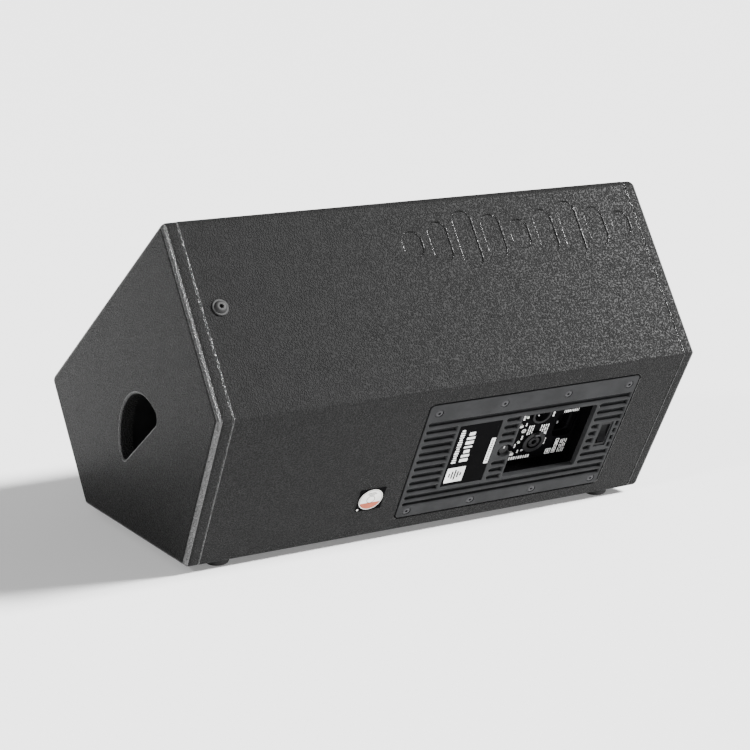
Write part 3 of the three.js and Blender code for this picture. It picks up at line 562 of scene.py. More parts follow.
MATERIALS = {
    "coating": coating("textured_coating", 0.012, 0.032, 0.02),
    # A lighter copy of the paint for rims and bevels: painted highlight.
    "rim_highlight_coating": coating("textured_coating_painted_rim_highlight", 0.02, 0.06, 1.0),
    "plate": satin("amp_plate_powder", (0.021, 0.0214, 0.0222), 0.42, 1300.0, 0.0001, gloss=0.04),
    "panel": satin("panel_black", (0.0015, 0.0015, 0.0017), 0.5, 900.0, 0.00003, gloss=0.008),
    "plastic": satin("matt_plastic", (0.008, 0.008, 0.0085), 0.4, 1500.0, 0.00008, gloss=0.08),
    "gloss": satin("gloss_plastic", (0.003, 0.003, 0.0033), 0.3, 300.0, 0.00002, spread=0.04, gloss=0.02),
    "rubber": satin("rubber", (0.014, 0.014, 0.014), 0.8, 700.0, 0.0002),
    "grille": satin("grille_powder", (0.016, 0.016, 0.017), 0.42, 1400.0, 0.0001, metallic=0.2),
    "blackened": satin("blackened_bolt", (0.022, 0.022, 0.022), 0.45, 900.0, 0.0004, gloss=0.1),
    "black_steel": satin("blackened_steel", (0.035, 0.035, 0.037), 0.34, 900.0, 0.00005,
                         metallic=0.4, gloss=0.1),
    "bright_steel": satin("plated_steel", (0.52, 0.52, 0.53), 0.3, 400.0, 0.00004, metallic=1.0),
    "aluminium": satin("cast_aluminium", (0.55, 0.55, 0.56), 0.45, 600.0, 0.0002, metallic=1.0),
    "ferrite": satin("ferrite", (0.045, 0.045, 0.05), 0.72, 500.0, 0.0003),
    "paper": satin("pressed_paper", (0.02, 0.02, 0.022), 0.85, 350.0, 0.0004),
    "copper": satin("copper_wire", (0.62, 0.27, 0.13), 0.32, 2500.0, 0.0001, metallic=1.0),
    "print": satin("white_print", (0.78, 0.78, 0.77), 0.5, 900.0, 0.00002),
    "key": satin("white_key", (0.62, 0.62, 0.6), 0.4, 900.0, 0.00003),
    "lens": satin("led_lens", (0.72, 0.78, 0.70), 0.22, 400.0, 0.00002, spread=0.04, coat=0.4),
    "silver": satin("silver_foil", (0.66, 0.65, 0.62), 0.34, 500.0, 0.00003, metallic=0.6),
    "rust": satin("rust_print", (0.34, 0.07, 0.03), 0.5, 700.0, 0.00003),
    "foam": foam(),
    "cloth": woven("spider_cloth", (0.16, 0.09, 0.03), (0.42, 0.27, 0.11)),
    "board": circuit_board(),
}

# --- Cabinet


def tube_profile(i, mitred_start, mitred_end):
    """One panel's section: outer points, inner corners, outward direction, and where its flat starts."""
    corners = [SECTION[i - 1], SECTION[i], SECTION[(i + 1) % 5], SECTION[(i + 2) % 5]]
    sizes = [BODY_RADII[k] for k in ("front", "front", "base", "base", "rear")]
    start, end = sizes[i], sizes[(i + 1) % 5]
    first = fillet(corners[0], corners[1], corners[2], start, 8)
    last = fillet(corners[1], corners[2], corners[3], end, 8)
    first = first[4:] if mitred_start else first
    last = last[:5] if mitred_end else last
    inner = offset_corners(SECTION, WALL)
    along = (corners[2] - corners[1]).normalized()
    inward = Vector((-along.y, along.x)) * WALL
    inner_end = inner[(i + 1) % 5] if mitred_end else corners[2] + inward
    inner_start = inner[i] if mitred_start else corners[1] + inward
    outer = [Vector(p) for p in first + last]
    return outer, [inner_end, inner_start], -inward.normalized(), len(first) - 1


def tube_panel(bm, i, mitred_start, mitred_end, holes, pockets):
    """A long panel along X with bevelled ends. Holes and pockets are cut in its outer face."""
    outer, inner, outward, edge = tube_profile(i, mitred_start, mitred_end)
    tucked = [p - outward * SEAM_BEVEL for p in outer]
    level = BODY_END - SEAM_BEVEL
    stations = [(-BODY_END, tucked), (-level, outer), (level, outer), (BODY_END, tucked)]
    rows = [[bm.verts.new((p.x, p.y, x)) for p in [*points, *inner]] for x, points in stations]
    count = len(rows[0])
    inner_edge = len(outer)
    for k, (lower, upper) in enumerate(zip(rows, rows[1:])):
        for a in range(count):
            b = (a + 1) % count
            if k == 1 and holes and a in (edge, inner_edge):
                continue
            bm.faces.new((lower[a], lower[b], upper[b], upper[a])).smooth = a not in (edge, inner_edge)
    for row in (rows[0], rows[-1]):
        fill(bm, [row])
    if holes:
        low, high = rows[1], rows[2]
        front, back = ([low[a], low[a + 1], high[a + 1], high[a]] for a in (edge, inner_edge))
        pierced_faces(bm, front, back, holes, pockets)


def in_section(rings, where):
    change = FRAMES["section"].inverted() @ FRAMES[where]
    return [[tuple(change @ Vector(p)) for p in ring] for ring in rings]


def meter_pockets():
    """Sunk bars with soft edges, as paint leaves them."""
    first = METER["x"] + METER["pitch"] * (len(METER_HEIGHTS) - 1) / 2
    steps = [(0.0, -1.0), (-0.25, -0.45), (-0.8, 0.0), (-1.5, 0.15), (-METER["depth"], 0.7)]
    walls = []
    for i, height in enumerate(METER_HEIGHTS):
        centre = -(first - i * METER["pitch"])
        shape = rounded_box(METER["bar"], height, METER["bar"] / 2 - 0.6, centre, -METER["down"], 8)
        walls.append([at(shape(inset), z) for z, inset in steps])
    return walls


def rear_opening():
    """The rebate that the amplifier plate lies in, stepping in to the window behind it."""
    plate = rounded_box(PLATE["width"], PLATE["height"], PLATE["corner"], steps=8)
    window = rounded_box(HOUSING["width"] + 5, HOUSING["height"] + 5, 6, steps=8)
    ledge = -PLATE["thick"] - GAP

    def outer(inset=0.0):
        return plate(inset - PLATE["gap"])
    return lead_in(outer, 0.0, 0.9, 3) + [at(outer(), ledge), at(window(), ledge), at(window(), -WALL)]


def paint_rim_highlight(obj):
    """Gives rims and bevels a lighter, glossier variant of the paint: the lighter colour is a painted
    highlight along the rims.
    """
    obj.data.materials.append(MATERIALS["rim_highlight_coating"])
    # How far a face turns towards the cabinet's ends: more than a side does, less than an end.
    least, most = 0.4, 0.95
    for face in obj.data.polygons:
        if least < abs(face.normal.x) < most:
            face.material_index = 1


def build_tube():
    bolt_hole = circle(4.4, -RIGGING["x"], RIGGING["v"], 24)
    bolt_wall = in_section([at(bolt_hole(), 0), at(bolt_hole(), -WALL)], "high")
    meter = [in_section(wall, "high") for wall in meter_pockets()]
    rear = in_section(rear_opening(), "rear")
    jobs = [
        ("side_panel_high", 4, True, False, [bolt_wall], meter),
        ("side_panel_low", 1, False, True, [], []),
        ("base_panel", 2, True, True, [], []),
        ("rear_panel", 3, True, True, [rear], []),
    ]
    for name, *shape in jobs:
        bm = bmesh.new()
        tube_panel(bm, *shape)
        paint_rim_highlight(piece("coated_" + name, bm, "section", "coating", name, sharp=50))


def end_panel_walls():
    outline = section_outline(END_RADII)
    outer = rim(outline, LENGTH / 2, END_RIM, 8)
    foot = LENGTH / 2 - END_WALL
    return [*outer, at(outline(), foot + 0.5), at(outline(0.5), foot)]


def coated_end(node, bm, move):
    paint_rim_highlight(piece("coated_" + node, bm, "section", "coating", node, sharp=50, move=move))


def build_end_panels():
    bm = bmesh.new()
    mouth = lead_in(handle_outline(), LENGTH / 2, 4.0, 6)
    slab(bm, end_panel_walls(), holes=[[*mouth, at(handle_outline()(), LENGTH / 2 - END_WALL)]])
    coated_end("end_panel_top", bm, None)
    bm = bmesh.new()
    hole = circle(POLE["bore"] + POLE["wall"] + GAP, 0, POLE["v"], 48)
    rebate = circle(POLE["flange"] + GAP, 0, POLE["v"], 48)
    face, step = LENGTH / 2, LENGTH / 2 - POLE["thick"] - GAP
    wall = [*lead_in(rebate, face, 0.6, 3), at(rebate(), step), at(hole(), step), at(hole(), face - END_WALL)]
    slab(bm, end_panel_walls(), holes=[wall])
    coated_end("end_panel_bottom", bm, Matrix.Scale(-1, 4, (0, 0, 1)))


def build_handle_cup():
    bm = bmesh.new()
    mouth, floor = BODY_END, BODY_END - HANDLE["depth"]
    steps = ((0, mouth), (0, floor + 6), (1.8, floor + 1.8), (6, floor))
    outside = [at(handle_outline(5)(inset), z) for inset, z in steps]
    inside_shape = handle_outline(2)
    inside = [at(inside_shape(), mouth)]
    for i in range(7):
        a = math.pi / 2 * i / 6
        inside.append(at(inside_shape(8 * (1 - math.cos(a))), floor + 3 + 8 * (1 - math.sin(a))))
    slab(bm, outside, pockets=[inside])
    piece("moulded_handle_cup", bm, "section", "plastic", "handle_cup")


def build_pole_socket():
    bm = bmesh.new()
    bore, outer, flange = POLE["bore"], POLE["bore"] + POLE["wall"], POLE["flange"]
    mouth = [(bore, -2.5), (bore + 0.7, -0.9), (bore + 2.4, 0)]
    plate = [(flange - 0.8, 0), (flange, -0.8), (flange, -POLE["thick"]), (outer, -POLE["thick"])]
    profile = [*mouth, *plate, (outer, -POLE["depth"] - POLE["wall"]), (0, -POLE["depth"] - POLE["wall"])]
    turned(bm, profile, 64)
    inner = [(0, -POLE["depth"]), (bore, -POLE["depth"]), (bore, -2.5)]
    turned(bm, inner, 64)
    move = Matrix.Translation((0, -POLE["v"], 0))
    piece("turned_pole_socket", bm, "bottom_end", "plastic", "pole_socket", move=move)


def build_feet():
    for name in ("foot_rear_top", "foot_rear_bottom", "foot_front_top", "foot_front_bottom"):
        low, high = (Vector(corner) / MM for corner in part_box(name))
        radius, height = (high.x - low.x) / 2, high.z
        sole = radius * 0.65
        profile = [(0, 1.2), (3.2, 1.2), (3.6, 0.3), (4.2, 0), (sole, 0)]
        for i in range(1, 9):
            a = math.pi / 2 * i / 8
            profile.append((sole + (radius - sole) * math.sin(a), (radius - sole) * (1 - math.cos(a))))
        profile += [(radius, height - 0.4), (radius - 0.4, height), (0, height)]
        bm = bmesh.new()
        turned(bm, profile, 48, (low.x + high.x) / 2, (low.y + high.y) / 2)
        piece("rubber_" + name, bm, "floor", "rubber", name)


def capped_screw(bm, profile, segments, socket_radius, socket_top, depth):
    """A turned screw whose head has a hexagon socket in its flat top."""
    turned(bm, profile, segments)
    bm.verts.ensure_lookup_table()
    top = [v for v in bm.verts if abs(v.co.z - socket_top) < 1e-5]
    top.sort(key=lambda v: math.atan2(v.co.y, v.co.x))
    corners = circle(socket_radius, steps=6)
    wall = skin(bm, [at(corners(), socket_top), at(corners(), socket_top - depth)])
    fill(bm, [top, wall[0]])
    fill(bm, [wall[-1]])


def build_rigging_bolt():
    bm = bmesh.new()
    head, flange, top = RIGGING["head"], RIGGING["flange"], GAP + 4.4
    shank = [(0, -20), (3.4, -20), (4, -19.4), (4, GAP)]
    washer = [(flange - 0.3, 0), (flange, 0.4), (flange, 1.1), (flange - 0.6, 1.6)]
    crown = [(head + 0.5, 1.6), (head, 2.0), (head - 0.25, 3.0), (head - 1.4, 4.1)]
    profile = [*shank, *raised(washer + crown, GAP), (head - 2.6, top)]
    capped_screw(bm, profile, 40, 2.6, top, 2.8)
    move = Matrix.Translation((-RIGGING["x"], RIGGING["v"], 0))
    piece("flanged_rigging_bolt", bm, "high", "blackened", "rigging_bolt", move=move)


# --- Front
INSIDE_X = BODY_END - GAP
INSIDE_U = HALF - WALL - GAP


def honeycomb(bm, half_x, half_y, cell):
    """Adds a sheet of hexagons centred on the origin. Returns the loop of vertices round its edge."""
    radius = cell / math.sqrt(3)
    rows = int(half_y / (1.5 * radius))
    for row in range(-rows, rows + 1):
        y = row * 1.5 * radius
        shift = cell / 2 if row % 2 else 0.0
        columns = int((half_x - shift - cell / 2) / cell)
        for column in range(-columns - (1 if row % 2 else 0), columns + 1):
            x = column * cell + shift
            corners = [(x + radius * math.cos(a), y + radius * math.sin(a), 0)
                       for a in (math.pi / 6 + math.pi / 3 * i for i in range(6))]
            bm.faces.new([bm.verts.new(p) for p in corners])
    bmesh.ops.remove_doubles(bm, verts=bm.verts, dist=0.01)
    edges = {e for e in bm.edges if e.is_boundary}
    first = min(edges, key=lambda e: e.verts[0].co.x)
    start, current = first.verts
    loop = [start]
    edges.remove(first)
    while current is not start:
        loop.append(current)
        step = next(e for e in current.link_edges if e in edges)
        edges.remove(step)
        current = step.other_vert(current)
    return loop


def build_grille():
    bm = bmesh.new()
    sheet, front = GRILLE["sheet"], GRILLE["front"]
    loop = honeycomb(bm, INSIDE_X - GRILLE["border"], INSIDE_U - GRILLE["border"], GRILLE["cell"])
    cells = list(bm.faces)
    shape = rounded_box(2 * INSIDE_X, 2 * INSIDE_U, 4.0)
    bend = ((2.0, 0), (0.8, -0.35), (0.2, -1.1), (0.0, -2.2), (0.0, -GRILLE["edge"]))
    rows = skin(bm, [at(shape(inset), z) for inset, z in bend])
    fill(bm, [rows[0], loop])
    bmesh.ops.inset_individual(bm, faces=cells, thickness=GRILLE["web"] / 2)
    bmesh.ops.delete(bm, geom=cells, context="FACES")
    move = Matrix.Translation((0, 0, front))
    obj = piece("perforated_grille", bm, "front", "grille", "grille", sharp=35, move=move)
    solid = obj.modifiers.new("sheet", "SOLIDIFY")
    solid.thickness = sheet * MM
    solid.offset = -1.0


# --- Amplifier plate and tray


def groove_spans(y):
    """Where the groove at this height runs, between the label, the tray, the well and the switch."""
    label, tray, switch = FLATS["label"], FLATS["tray"], FLATS["switch"]
    if not label[2] < y < label[3]:
        return [(GROOVE_START, GROOVE_END)]
    spans = [(GROOVE_START, label[0])]
    if abs(y - KNOB["y"]) > KNOB["well"] + GROOVE["shoulder"]:
        spans.append((label[1], tray[0]))
    if switch[2] < y < switch[3]:
        spans += [(tray[1], switch[0]), (switch[1], GROOVE_END)]
    else:
        spans.append((tray[1], GROOVE_END))
    return spans


def groove_walls():
    """Round shoulders falling to a flat floor. The groove just above the knob's well is narrower."""
    shoulder, depth = GROOVE["shoulder"], GROOVE["depth"]
    walls = []
    for i in range(GROOVE["count"]):
        y = GROOVE["centre"] + GROOVE["pitch"] * (i - (GROOVE["count"] - 1) / 2)
        y, floor = (LAST_GROOVE["y"], LAST_GROOVE["floor"]) if i == 0 else (y, GROOVE["floor"])
        for a, b in groove_spans(y):
            above_well = b == FLATS["tray"][0] and 0 < y - KNOB["y"] < 16
            half = floor - 0.5 if above_well else floor
            shape = groove_outline(a + shoulder, b - shoulder, y, half, a != FLATS["switch"][1])
            floor_rings = [at(shape(), 0.7 - depth), at(shape(0.5), -depth)]
            walls.append(lead_in(shape, 0.0, shoulder, 6) + floor_rings)
    return walls


def build_heatsink():
    bm = bmesh.new()
    shape = rounded_box(PLATE["width"], PLATE["height"], PLATE["corner"], steps=8)
    switch_hole = box_of(SWITCH, 0, 1)
    label_seat = box_of(LABEL, 0, 1)
    back = -PLATE["thick"]
    holes = [[*lead_in(outline, 0.0, 0.3, 3), at(outline(), back)] for outline in (tray_outline, switch_hole)]
    for x, y in SCREWS:
        mouth, shaft, step = circle(5.0, x, y, 32), circle(2.7, x, y, 32), -3
        holes.append([*lead_in(mouth, 0.0, 0.4, 3), at(mouth(), step), at(shaft(), step), at(shaft(), back)])
    seat = [*lead_in(label_seat, 0.0, 0.35, 2), at(label_seat(), -LABEL["seat"])]
    slab(bm, [*rim(shape, 0.0, 0.6, 4), at(shape(), back)], holes=holes, pockets=[seat, *groove_walls()])
    piece("ribbed_heatsink_plate", bm, "rear", "plate", "heatsink_plate", sharp=32)


def build_tray():
    bm = bmesh.new()
    floor, back, wall = TRAY_FLOOR, TRAY_BACK, TRAY["wall"]
    top = -PLATE["thick"] - GAP
    outside = skin(bm, [at(tray_outline(-wall), top), at(tray_outline(-wall), back)])
    steps = [(top, 0.0), (floor + 1.2, 0.0), (floor + 0.35, 0.3), (floor, 1.2)]
    inside = skin(bm, [at(tray_outline(inset), z) for z, inset in steps])
    knob = (KNOB["x"], KNOB["y"])
    holes = []
    sockets, leds = [(XLR_IN, XLR_HOLE), (XLR_LINK, XLR_HOLE)], [(LIMIT_LED, LED_HOLE), (POWER_LED, LED_HOLE)]
    for centre, radius in [*sockets, (knob, 4.2), *leds]:
        hole = circle(radius, *centre, 28)
        holes.append(skin(bm, [at(hole(), floor), at(hole(), back)]))
    for centre, size in ((GAIN_BUTTON, BUTTON_HOLE), (CONTOUR_BUTTON, BUTTON_HOLE), (INLET, INLET_MOUTH)):
        hole = rounded_box(*size, *centre, 5)
        holes.append(skin(bm, [*lead_in(hole, floor, 0.3, 2), at(hole(), back)]))
    fill(bm, [outside[0], inside[0]])
    fill(bm, [inside[-1], *[hole[0] for hole in holes]])
    fill(bm, [outside[-1], *[hole[-1] for hole in holes]])
    piece("pressed_connector_tray", bm, "rear", "panel", "connector_tray", sharp=40)


def build_label():
    bm = bmesh.new()
    bottom = GAP - LABEL["seat"]
    shape = box_of(LABEL, 0.8, 0.8)
    bar(bm, shape, bottom, bottom + LABEL["thick"], 0.2, 2)
    piece("printed_label_plate", bm, "rear", "panel", "label_plate")
    build_label_print(bottom + LABEL["thick"])


def printed(shape, top, thick=INK):
    """The rings of an outline printed on a face."""
    return [at(shape(), top + thick), at(shape(), top - INK_ROOT)]


def mark(bm, x, y, width, height, top, radius=0.25, thick=INK):
    slab(bm, printed(rounded_box(width, height, radius, x, y, 3), top, thick))


def text_rows(bm, left, right, low, high, rows, top, fat=0.55, words=(0.34, 0.2, 0.3)):
    """Plain bars in place of lines of print that run up the panel."""
    pitch = (right - left) / rows
    for row in range(rows):
        x = left + pitch * (row + 0.5)
        y = low
        order = words[row % len(words):] + words[:row % len(words)]
        for share in order:
            length = share * (high - low)
            mark(bm, x, y + length / 2, pitch * fat, length, top, 0.15)
            y += length + WORD_GAP * (high - low)


def letter_row(bm, left, right, low, high, count, top):
    """Plain blocks of two widths in place of one large word that runs up the panel."""
    pitch = (high - low) / count
    for i in range(count):
        share = (0.7, 0.55, 0.7, 0.4)[i % 4]
        inset = (0.0, 0.0, 0.14, 0.0)[i % 4] * (right - left)
        y = low + pitch * (i + 0.5)
        mark(bm, (left + right) / 2, y, right - left - 2 * inset, pitch * share, top, 0.3)


def build_label_print(top):
    """A generic badge and rows of plain bars where a maker's panel would carry its printing."""
    bm = bmesh.new()
    badge_x, badge_y = -74.2, -28.05
    badge = rounded_box(23.2, 21.8, 1.2, badge_x, badge_y, 4)
    bars = []
    for i, height in enumerate((6.0, 11.0, 15.0, 9.0, 5.0)):
        shape = rounded_box(2.0, height, 0.95, badge_x - 7.2 + 3.6 * i, badge_y, 4)
        bars.append(printed(shape, top))
    slab(bm, printed(badge, top), holes=bars)
    letter_row(bm, -84.6, -79.2, -10.5, 38.8, 15, top)
    letter_row(bm, -74.6, -64.2, -10.5, 34.4, 7, top)
    strip_x, strip_low, strip_high = -37.9, -17.95, 19.45
    strip = rounded_box(5.4, strip_high - strip_low, 0.5, strip_x, (strip_low + strip_high) / 2, 3)
    ticks = []
    for i in range(10):
        shape = rounded_box(2.4, 1.6, 0.2, strip_x, strip_low + 4.0 + 3.2 * i, 2)
        ticks.append(printed(shape, top))
    slab(bm, printed(strip, top), holes=ticks)
    piece("label_printing", bm, "rear", "print")


def ring_mark(bm, x, y, radius, wide, top):
    outer, inner = circle(radius, x, y, 32), circle(radius - wide, x, y, 32)
    slab(bm, printed(outer, top), holes=[printed(inner, top)])


def build_tray_print():
    """Plain marks beside each control, in place of words."""
    bm = bmesh.new()
    top = TRAY_FLOOR
    ring_mark(bm, 20.55, -0.35, 2.7, 0.7, top)
    mark(bm, 20.55, -0.35, 0.8, 3.0, top)
    blocks = ((25.5, 33.9, -7.4, 6.2), (42.3, 54.5, -10.6, 5.0), (78.8, 88.4, -43.0, -23.2))
    for left, right, low, high in blocks:
        text_rows(bm, left, right, low, high, 4 if right - left > 9 else 3, top, 0.4)
    words = (
        (15.0, 19.5, 2.9, 6.6), (21.2, 9.0, 2.2, 4.4), (21.4, -10.5, 2.0, 6.0), (15.4, -21.8, 2.0, 6.0),
        (22.0, -31.2, 2.0, 4.5), (54.5, 19.2, 2.6, 7.0), (55.6, -21.0, 1.6, 9.5),
    )
    for x, y, width, height in words:
        w, h = width / 2, height / 2
        text_rows(bm, x - w, x + w, y - h, y + h, 1, top, 0.8, (0.28, 0.24, 0.3))
    for i in range(9):
        mark(bm, 14.2 + 3.2 * i, -41.2, 2.2 if i % 3 else 1.4, 4.4, top)
        mark(bm, 68.8 + 2.4 * i, 20.4, 1.6 if i % 4 else 0.9, 3.6, top)
    frames = ((65.8, -38.8, 7.0, 7.6), (74.0, -38.8, 5.0, 7.6), (74.3, -27.3, 4.4, 12.6))
    for x, y, width, height in frames:
        shape = rounded_box(width, height, 0.6, x, y, 3)
        inside = rounded_box(width - 1.6, height - 1.6, 0.3, x, y, 3)
        slab(bm, printed(shape, top), holes=[printed(inside, top)])
        mark(bm, x, y, width * 0.35, height * 0.5, top)
    piece("tray_printing", bm, "rear", "print")


# --- Controls and connectors
PANEL_FACE = GAP + TRAY_FLOOR
FLANGE_FACE = PANEL_FACE + 1.8
SOCKET_BACK = -46
LATCH = {"width": 6.4, "height": 2.8, "y": 11.9}


def pin_circle(centre, radius, first):
    angles = [math.radians(first + 120 * i) for i in range(3)]
    return [(centre[0] + radius * math.cos(a), centre[1] + radius * math.sin(a)) for a in angles]


def flange_back(flange, body):
    """Rings from the back of a socket's flange to the end of its body."""
    return [at(flange(), PANEL_FACE), at(body(), PANEL_FACE), at(body(), SOCKET_BACK)]


def build_xlr_input():
    """A socket for two kinds of plug: a flange, a round groove, and a core with jack and pin holes."""
    bm = bmesh.new()
    x, y = XLR_IN
    face = FLANGE_FACE
    flange, groove_outer, groove_inner, jack_hole, pin_hole = 14.5, 9.6, 7.2, 3.2, 1.0
    outer = circle(flange, x, y, 64)
    groove_out, groove_in = circle(groove_outer, x, y, 48), circle(groove_inner, x, y, 48)
    notch = rounded_box(LATCH["width"] + 0.5, LATCH["height"] + 0.5, 0.3, x, y + LATCH["y"], 2)
    body, jack = circle(XLR_BODY, x, y, 64), circle(jack_hole, x, y, 32)
    outside = rim(outer, face, 0.3, 3) + flange_back(outer, body)
    groove = [*lead_in(groove_out, face, 0.3, 3), at(groove_out(), face - 11), at(groove_in(), face - 11)]
    core = [*groove, at(groove_in(), face - 0.7), at(groove_in(0.4), face - 0.3)]
    outer_rows = skin(bm, outside)
    core_rows = skin(bm, core)
    slot_rows = skin(bm, [at(notch(), face), at(notch(), face - 8)])
    jack_rows = skin(bm, [*lead_in(jack, face - 0.3, 0.5, 3), at(jack(), face - 20)])
    holes = [skin(bm, [at(circle(pin_hole, px, py, 16)(), z) for z in (face - 0.3, face - 10)])
             for px, py in pin_circle(XLR_IN, 5.3, 90)]
    fill(bm, [outer_rows[0], core_rows[0], slot_rows[0]])
    fill(bm, [core_rows[-1], jack_rows[0], *[h[0] for h in holes]])
    fill(bm, [outer_rows[-1]])
    for rows in [slot_rows, jack_rows, *holes]:
        fill(bm, [rows[-1]])
    piece("input_socket_body", bm, "rear", "plastic", "xlr_input_socket")
    bm = bmesh.new()
    tab = rounded_box(LATCH["width"], LATCH["height"], 0.7, x, y + LATCH["y"], 4)
    bar(bm, tab, TRAY_FLOOR - 7.5, PANEL_FACE + 4.2, 0.7, 4)
    piece("push_latch_tab", bm, "rear", "black_steel", "xlr_input_latch", "xlr_latch_body")
    bm = bmesh.new()
    head = ((0, 0), (1.9, 0), (1.9, 1.1), (1.5, 1.5), (0.6, 1.6), (0.5, 1.1), (0, 1.1))
    for dx, dy in ((-11.9, -11.5), (11.9, 11.5)):
        turned(bm, raised(head, TRAY_FLOOR - 0.5), 20, x + dx, y + dy)
    piece("input_socket_screws", bm, "rear", "bright_steel")


def build_xlr_link():
    bm = bmesh.new()
    x, y = XLR_LINK
    face = FLANGE_FACE
    flange, cup = 12.5, 9.4
    outer, bore, body = circle(flange, x, y, 64), circle(cup, x, y, 48), circle(XLR_BODY, x, y, 64)
    outside = rim(outer, face, 0.7, 4) + flange_back(outer, body)
    inside = [*lead_in(bore, face, 0.7, 3), at(bore(), face - 14)]
    slab(bm, outside, pockets=[inside])
    piece("link_plug_body", bm, "rear", "plastic", "xlr_link_plug")
    bm = bmesh.new()
    pin = ((0, -14.5), (1.2, -14.5), (1.2, -4.2), (0.9, -3.6), (0, -3.4))
    for px, py in pin_circle(XLR_LINK, 4.0, 0):
        turned(bm, raised(pin, face), 20, px, py)
    piece("link_plug_pins", bm, "rear", "bright_steel")


def build_inlet():
    """A recess behind the tray's floor, a rounded ledge, and a cavity with three blades."""
    bm = bmesh.new()
    x, y = INLET
    top = TRAY_BACK - GAP
    mouth = rounded_box(*INLET_MOUTH, x, y, 8)
    body = rounded_box(30.5, 37.7, 8.35, x, y, 8)
    cavity = rounded_box(22.0, 29.2, 4.1, x, y, 8)
    ledge, floor = -30.5, -40
    walls = [at(mouth(), top), at(mouth(), ledge + 0.5), at(mouth(0.5), ledge)]
    inside = [*walls, *lead_in(cavity, ledge, 0.8, 4), at(cavity(), floor)]
    slab(bm, [at(body(), top), at(body(), SOCKET_BACK)], pockets=[inside])
    piece("mains_inlet_body", bm, "rear", "gloss", "mains_inlet")
    bm = bmesh.new()
    for dx, dy in ((0, 7), (0, -7), (-4.5, 0)):
        bar(bm, rounded_box(2, 4, 0.4, x + dx, y + dy, 3), floor - 0.5, floor + 7, 0.6, 3)
    piece("mains_inlet_blades", bm, "rear", "bright_steel")


def build_switch():
    bm = bmesh.new()
    outside = box_of(SWITCH, 0.6, 1)
    inside = rounded_box(SWITCH["width"] - 4.6, SWITCH["opening"], 0.8, SWITCH["x"], SWITCH["y"])
    face, floor, back = -1.2, -22, -24
    pocket = [*lead_in(inside, face, 0.3, 2), at(inside(), floor)]
    slab(bm, [*rim(outside, face, 0.3, 2), at(outside(), back)], pockets=[pocket])
    piece("switch_bezel", bm, "rear", "plastic", "mains_switch_housing")
    build_rocker()


def build_rocker():
    """A curved rocker whose face dips in the middle."""
    radius, low, waist = 13.0, -5.0, 4.2
    width = SWITCH["width"] - 5.4
    lift = waist + radius * math.sin(SWITCH["tilt"])
    edge, foot = math.sqrt(radius ** 2 - lift ** 2), math.sqrt(radius ** 2 - low ** 2)
    side = [(-foot, low), (foot, low), (radius, 0), (edge + 0.25, lift - 0.6)]
    for i in range(9):
        t = 1 - i / 4
        side.append((edge * t, waist + (lift - waist) * abs(t) ** 1.5))
    side += [(-edge - 0.25, lift - 0.6), (-radius, 0)]
    bm = bmesh.new()
    rows = []
    for x, shrink in ((-width / 2, 0.5), (-width / 2 + 0.5, 0.0), (width / 2 - 0.5, 0.0), (width / 2, 0.5)):
        factor = 1 - shrink / radius
        rows.append([(x, y * factor, z * factor) for y, z in side])
    walls = skin(bm, rows)
    fill(bm, [walls[0]])
    fill(bm, [walls[-1]])
    turn = Matrix.Rotation(-SWITCH["tilt"], 4, "X")
    move = Matrix.Translation((SWITCH["x"], SWITCH["y"], SWITCH["pivot"])) @ turn
    body = "mains_rocker_body"
    piece("rocker_cap", bm, "rear", "gloss", "mains_rocker", body, move=move)


def build_knob():
    bm = bmesh.new()
    base = PANEL_FACE + 0.4
    skirt, grip, top = KNOB["skirt"], KNOB["radius"], KNOB["top"]
    foot = [(0, 0), (skirt - 0.3, 0), (skirt, 0.3), (skirt - 0.3, 1.9), (grip + 0.4, 2.8), (grip, 3.4)]
    crown = [(grip, top - 1.2), (grip - 0.35, top - 0.4), (grip - 1.1, top), (0, top)]
    turned(bm, raised(foot, base) + crown, 96)
    for v in bm.verts:
        reach = math.hypot(v.co.x, v.co.y)
        if base + 3.2 < v.co.z < top - 0.2 and reach > 4:
            wave = 0.5 + 0.5 * math.cos(KNOB["flutes"] * math.atan2(v.co.y, v.co.x))
            v.co.x *= 1 - KNOB["flute_depth"] * wave
            v.co.y *= 1 - KNOB["flute_depth"] * wave
    shaft, end = KNOB["shaft"], KNOB["shaft_end"]
    turned(bm, [(0, end), (shaft, end), (shaft, base + 1), (0, base + 1)], 32)
    move = Matrix.Translation((KNOB["x"], KNOB["y"], 0))
    body = "level_knob_body"
    piece("fluted_level_knob", bm, "rear", "plastic", "level_knob", body, move=move)
    bm = bmesh.new()
    mark(bm, KNOB["x"], KNOB["y"] + 3.2, 0.9, 3.8, top, 0.4, 0.05)
    piece("level_knob_pointer", bm, "rear", "print", None, body)


def build_buttons():
    for name, (x, y) in (("gain_button", GAIN_BUTTON), ("contour_button", CONTOUR_BUTTON)):
        bm = bmesh.new()
        cap = rounded_box(5.5, 3.5, 0.7, x, y, 5)
        bar(bm, cap, TRAY_BACK - GAP - 0.4, TRAY_FLOOR + 3.5, 0.6, 5)
        piece("moulded_" + name, bm, "rear", "key", name, name + "_body")
    for name, (x, y) in (("limit_led", LIMIT_LED), ("power_led", POWER_LED)):
        bm = bmesh.new()
        lens = ((0, -11.1), (1.9, -11.1), (1.9, 0.3), (1.75, 0.9), (1.25, 1.4), (0.6, 1.58), (0, 1.6))
        turned(bm, raised(lens, TRAY_FLOOR), 24, x, y)
        piece("domed_" + name, bm, "rear", "lens", name)


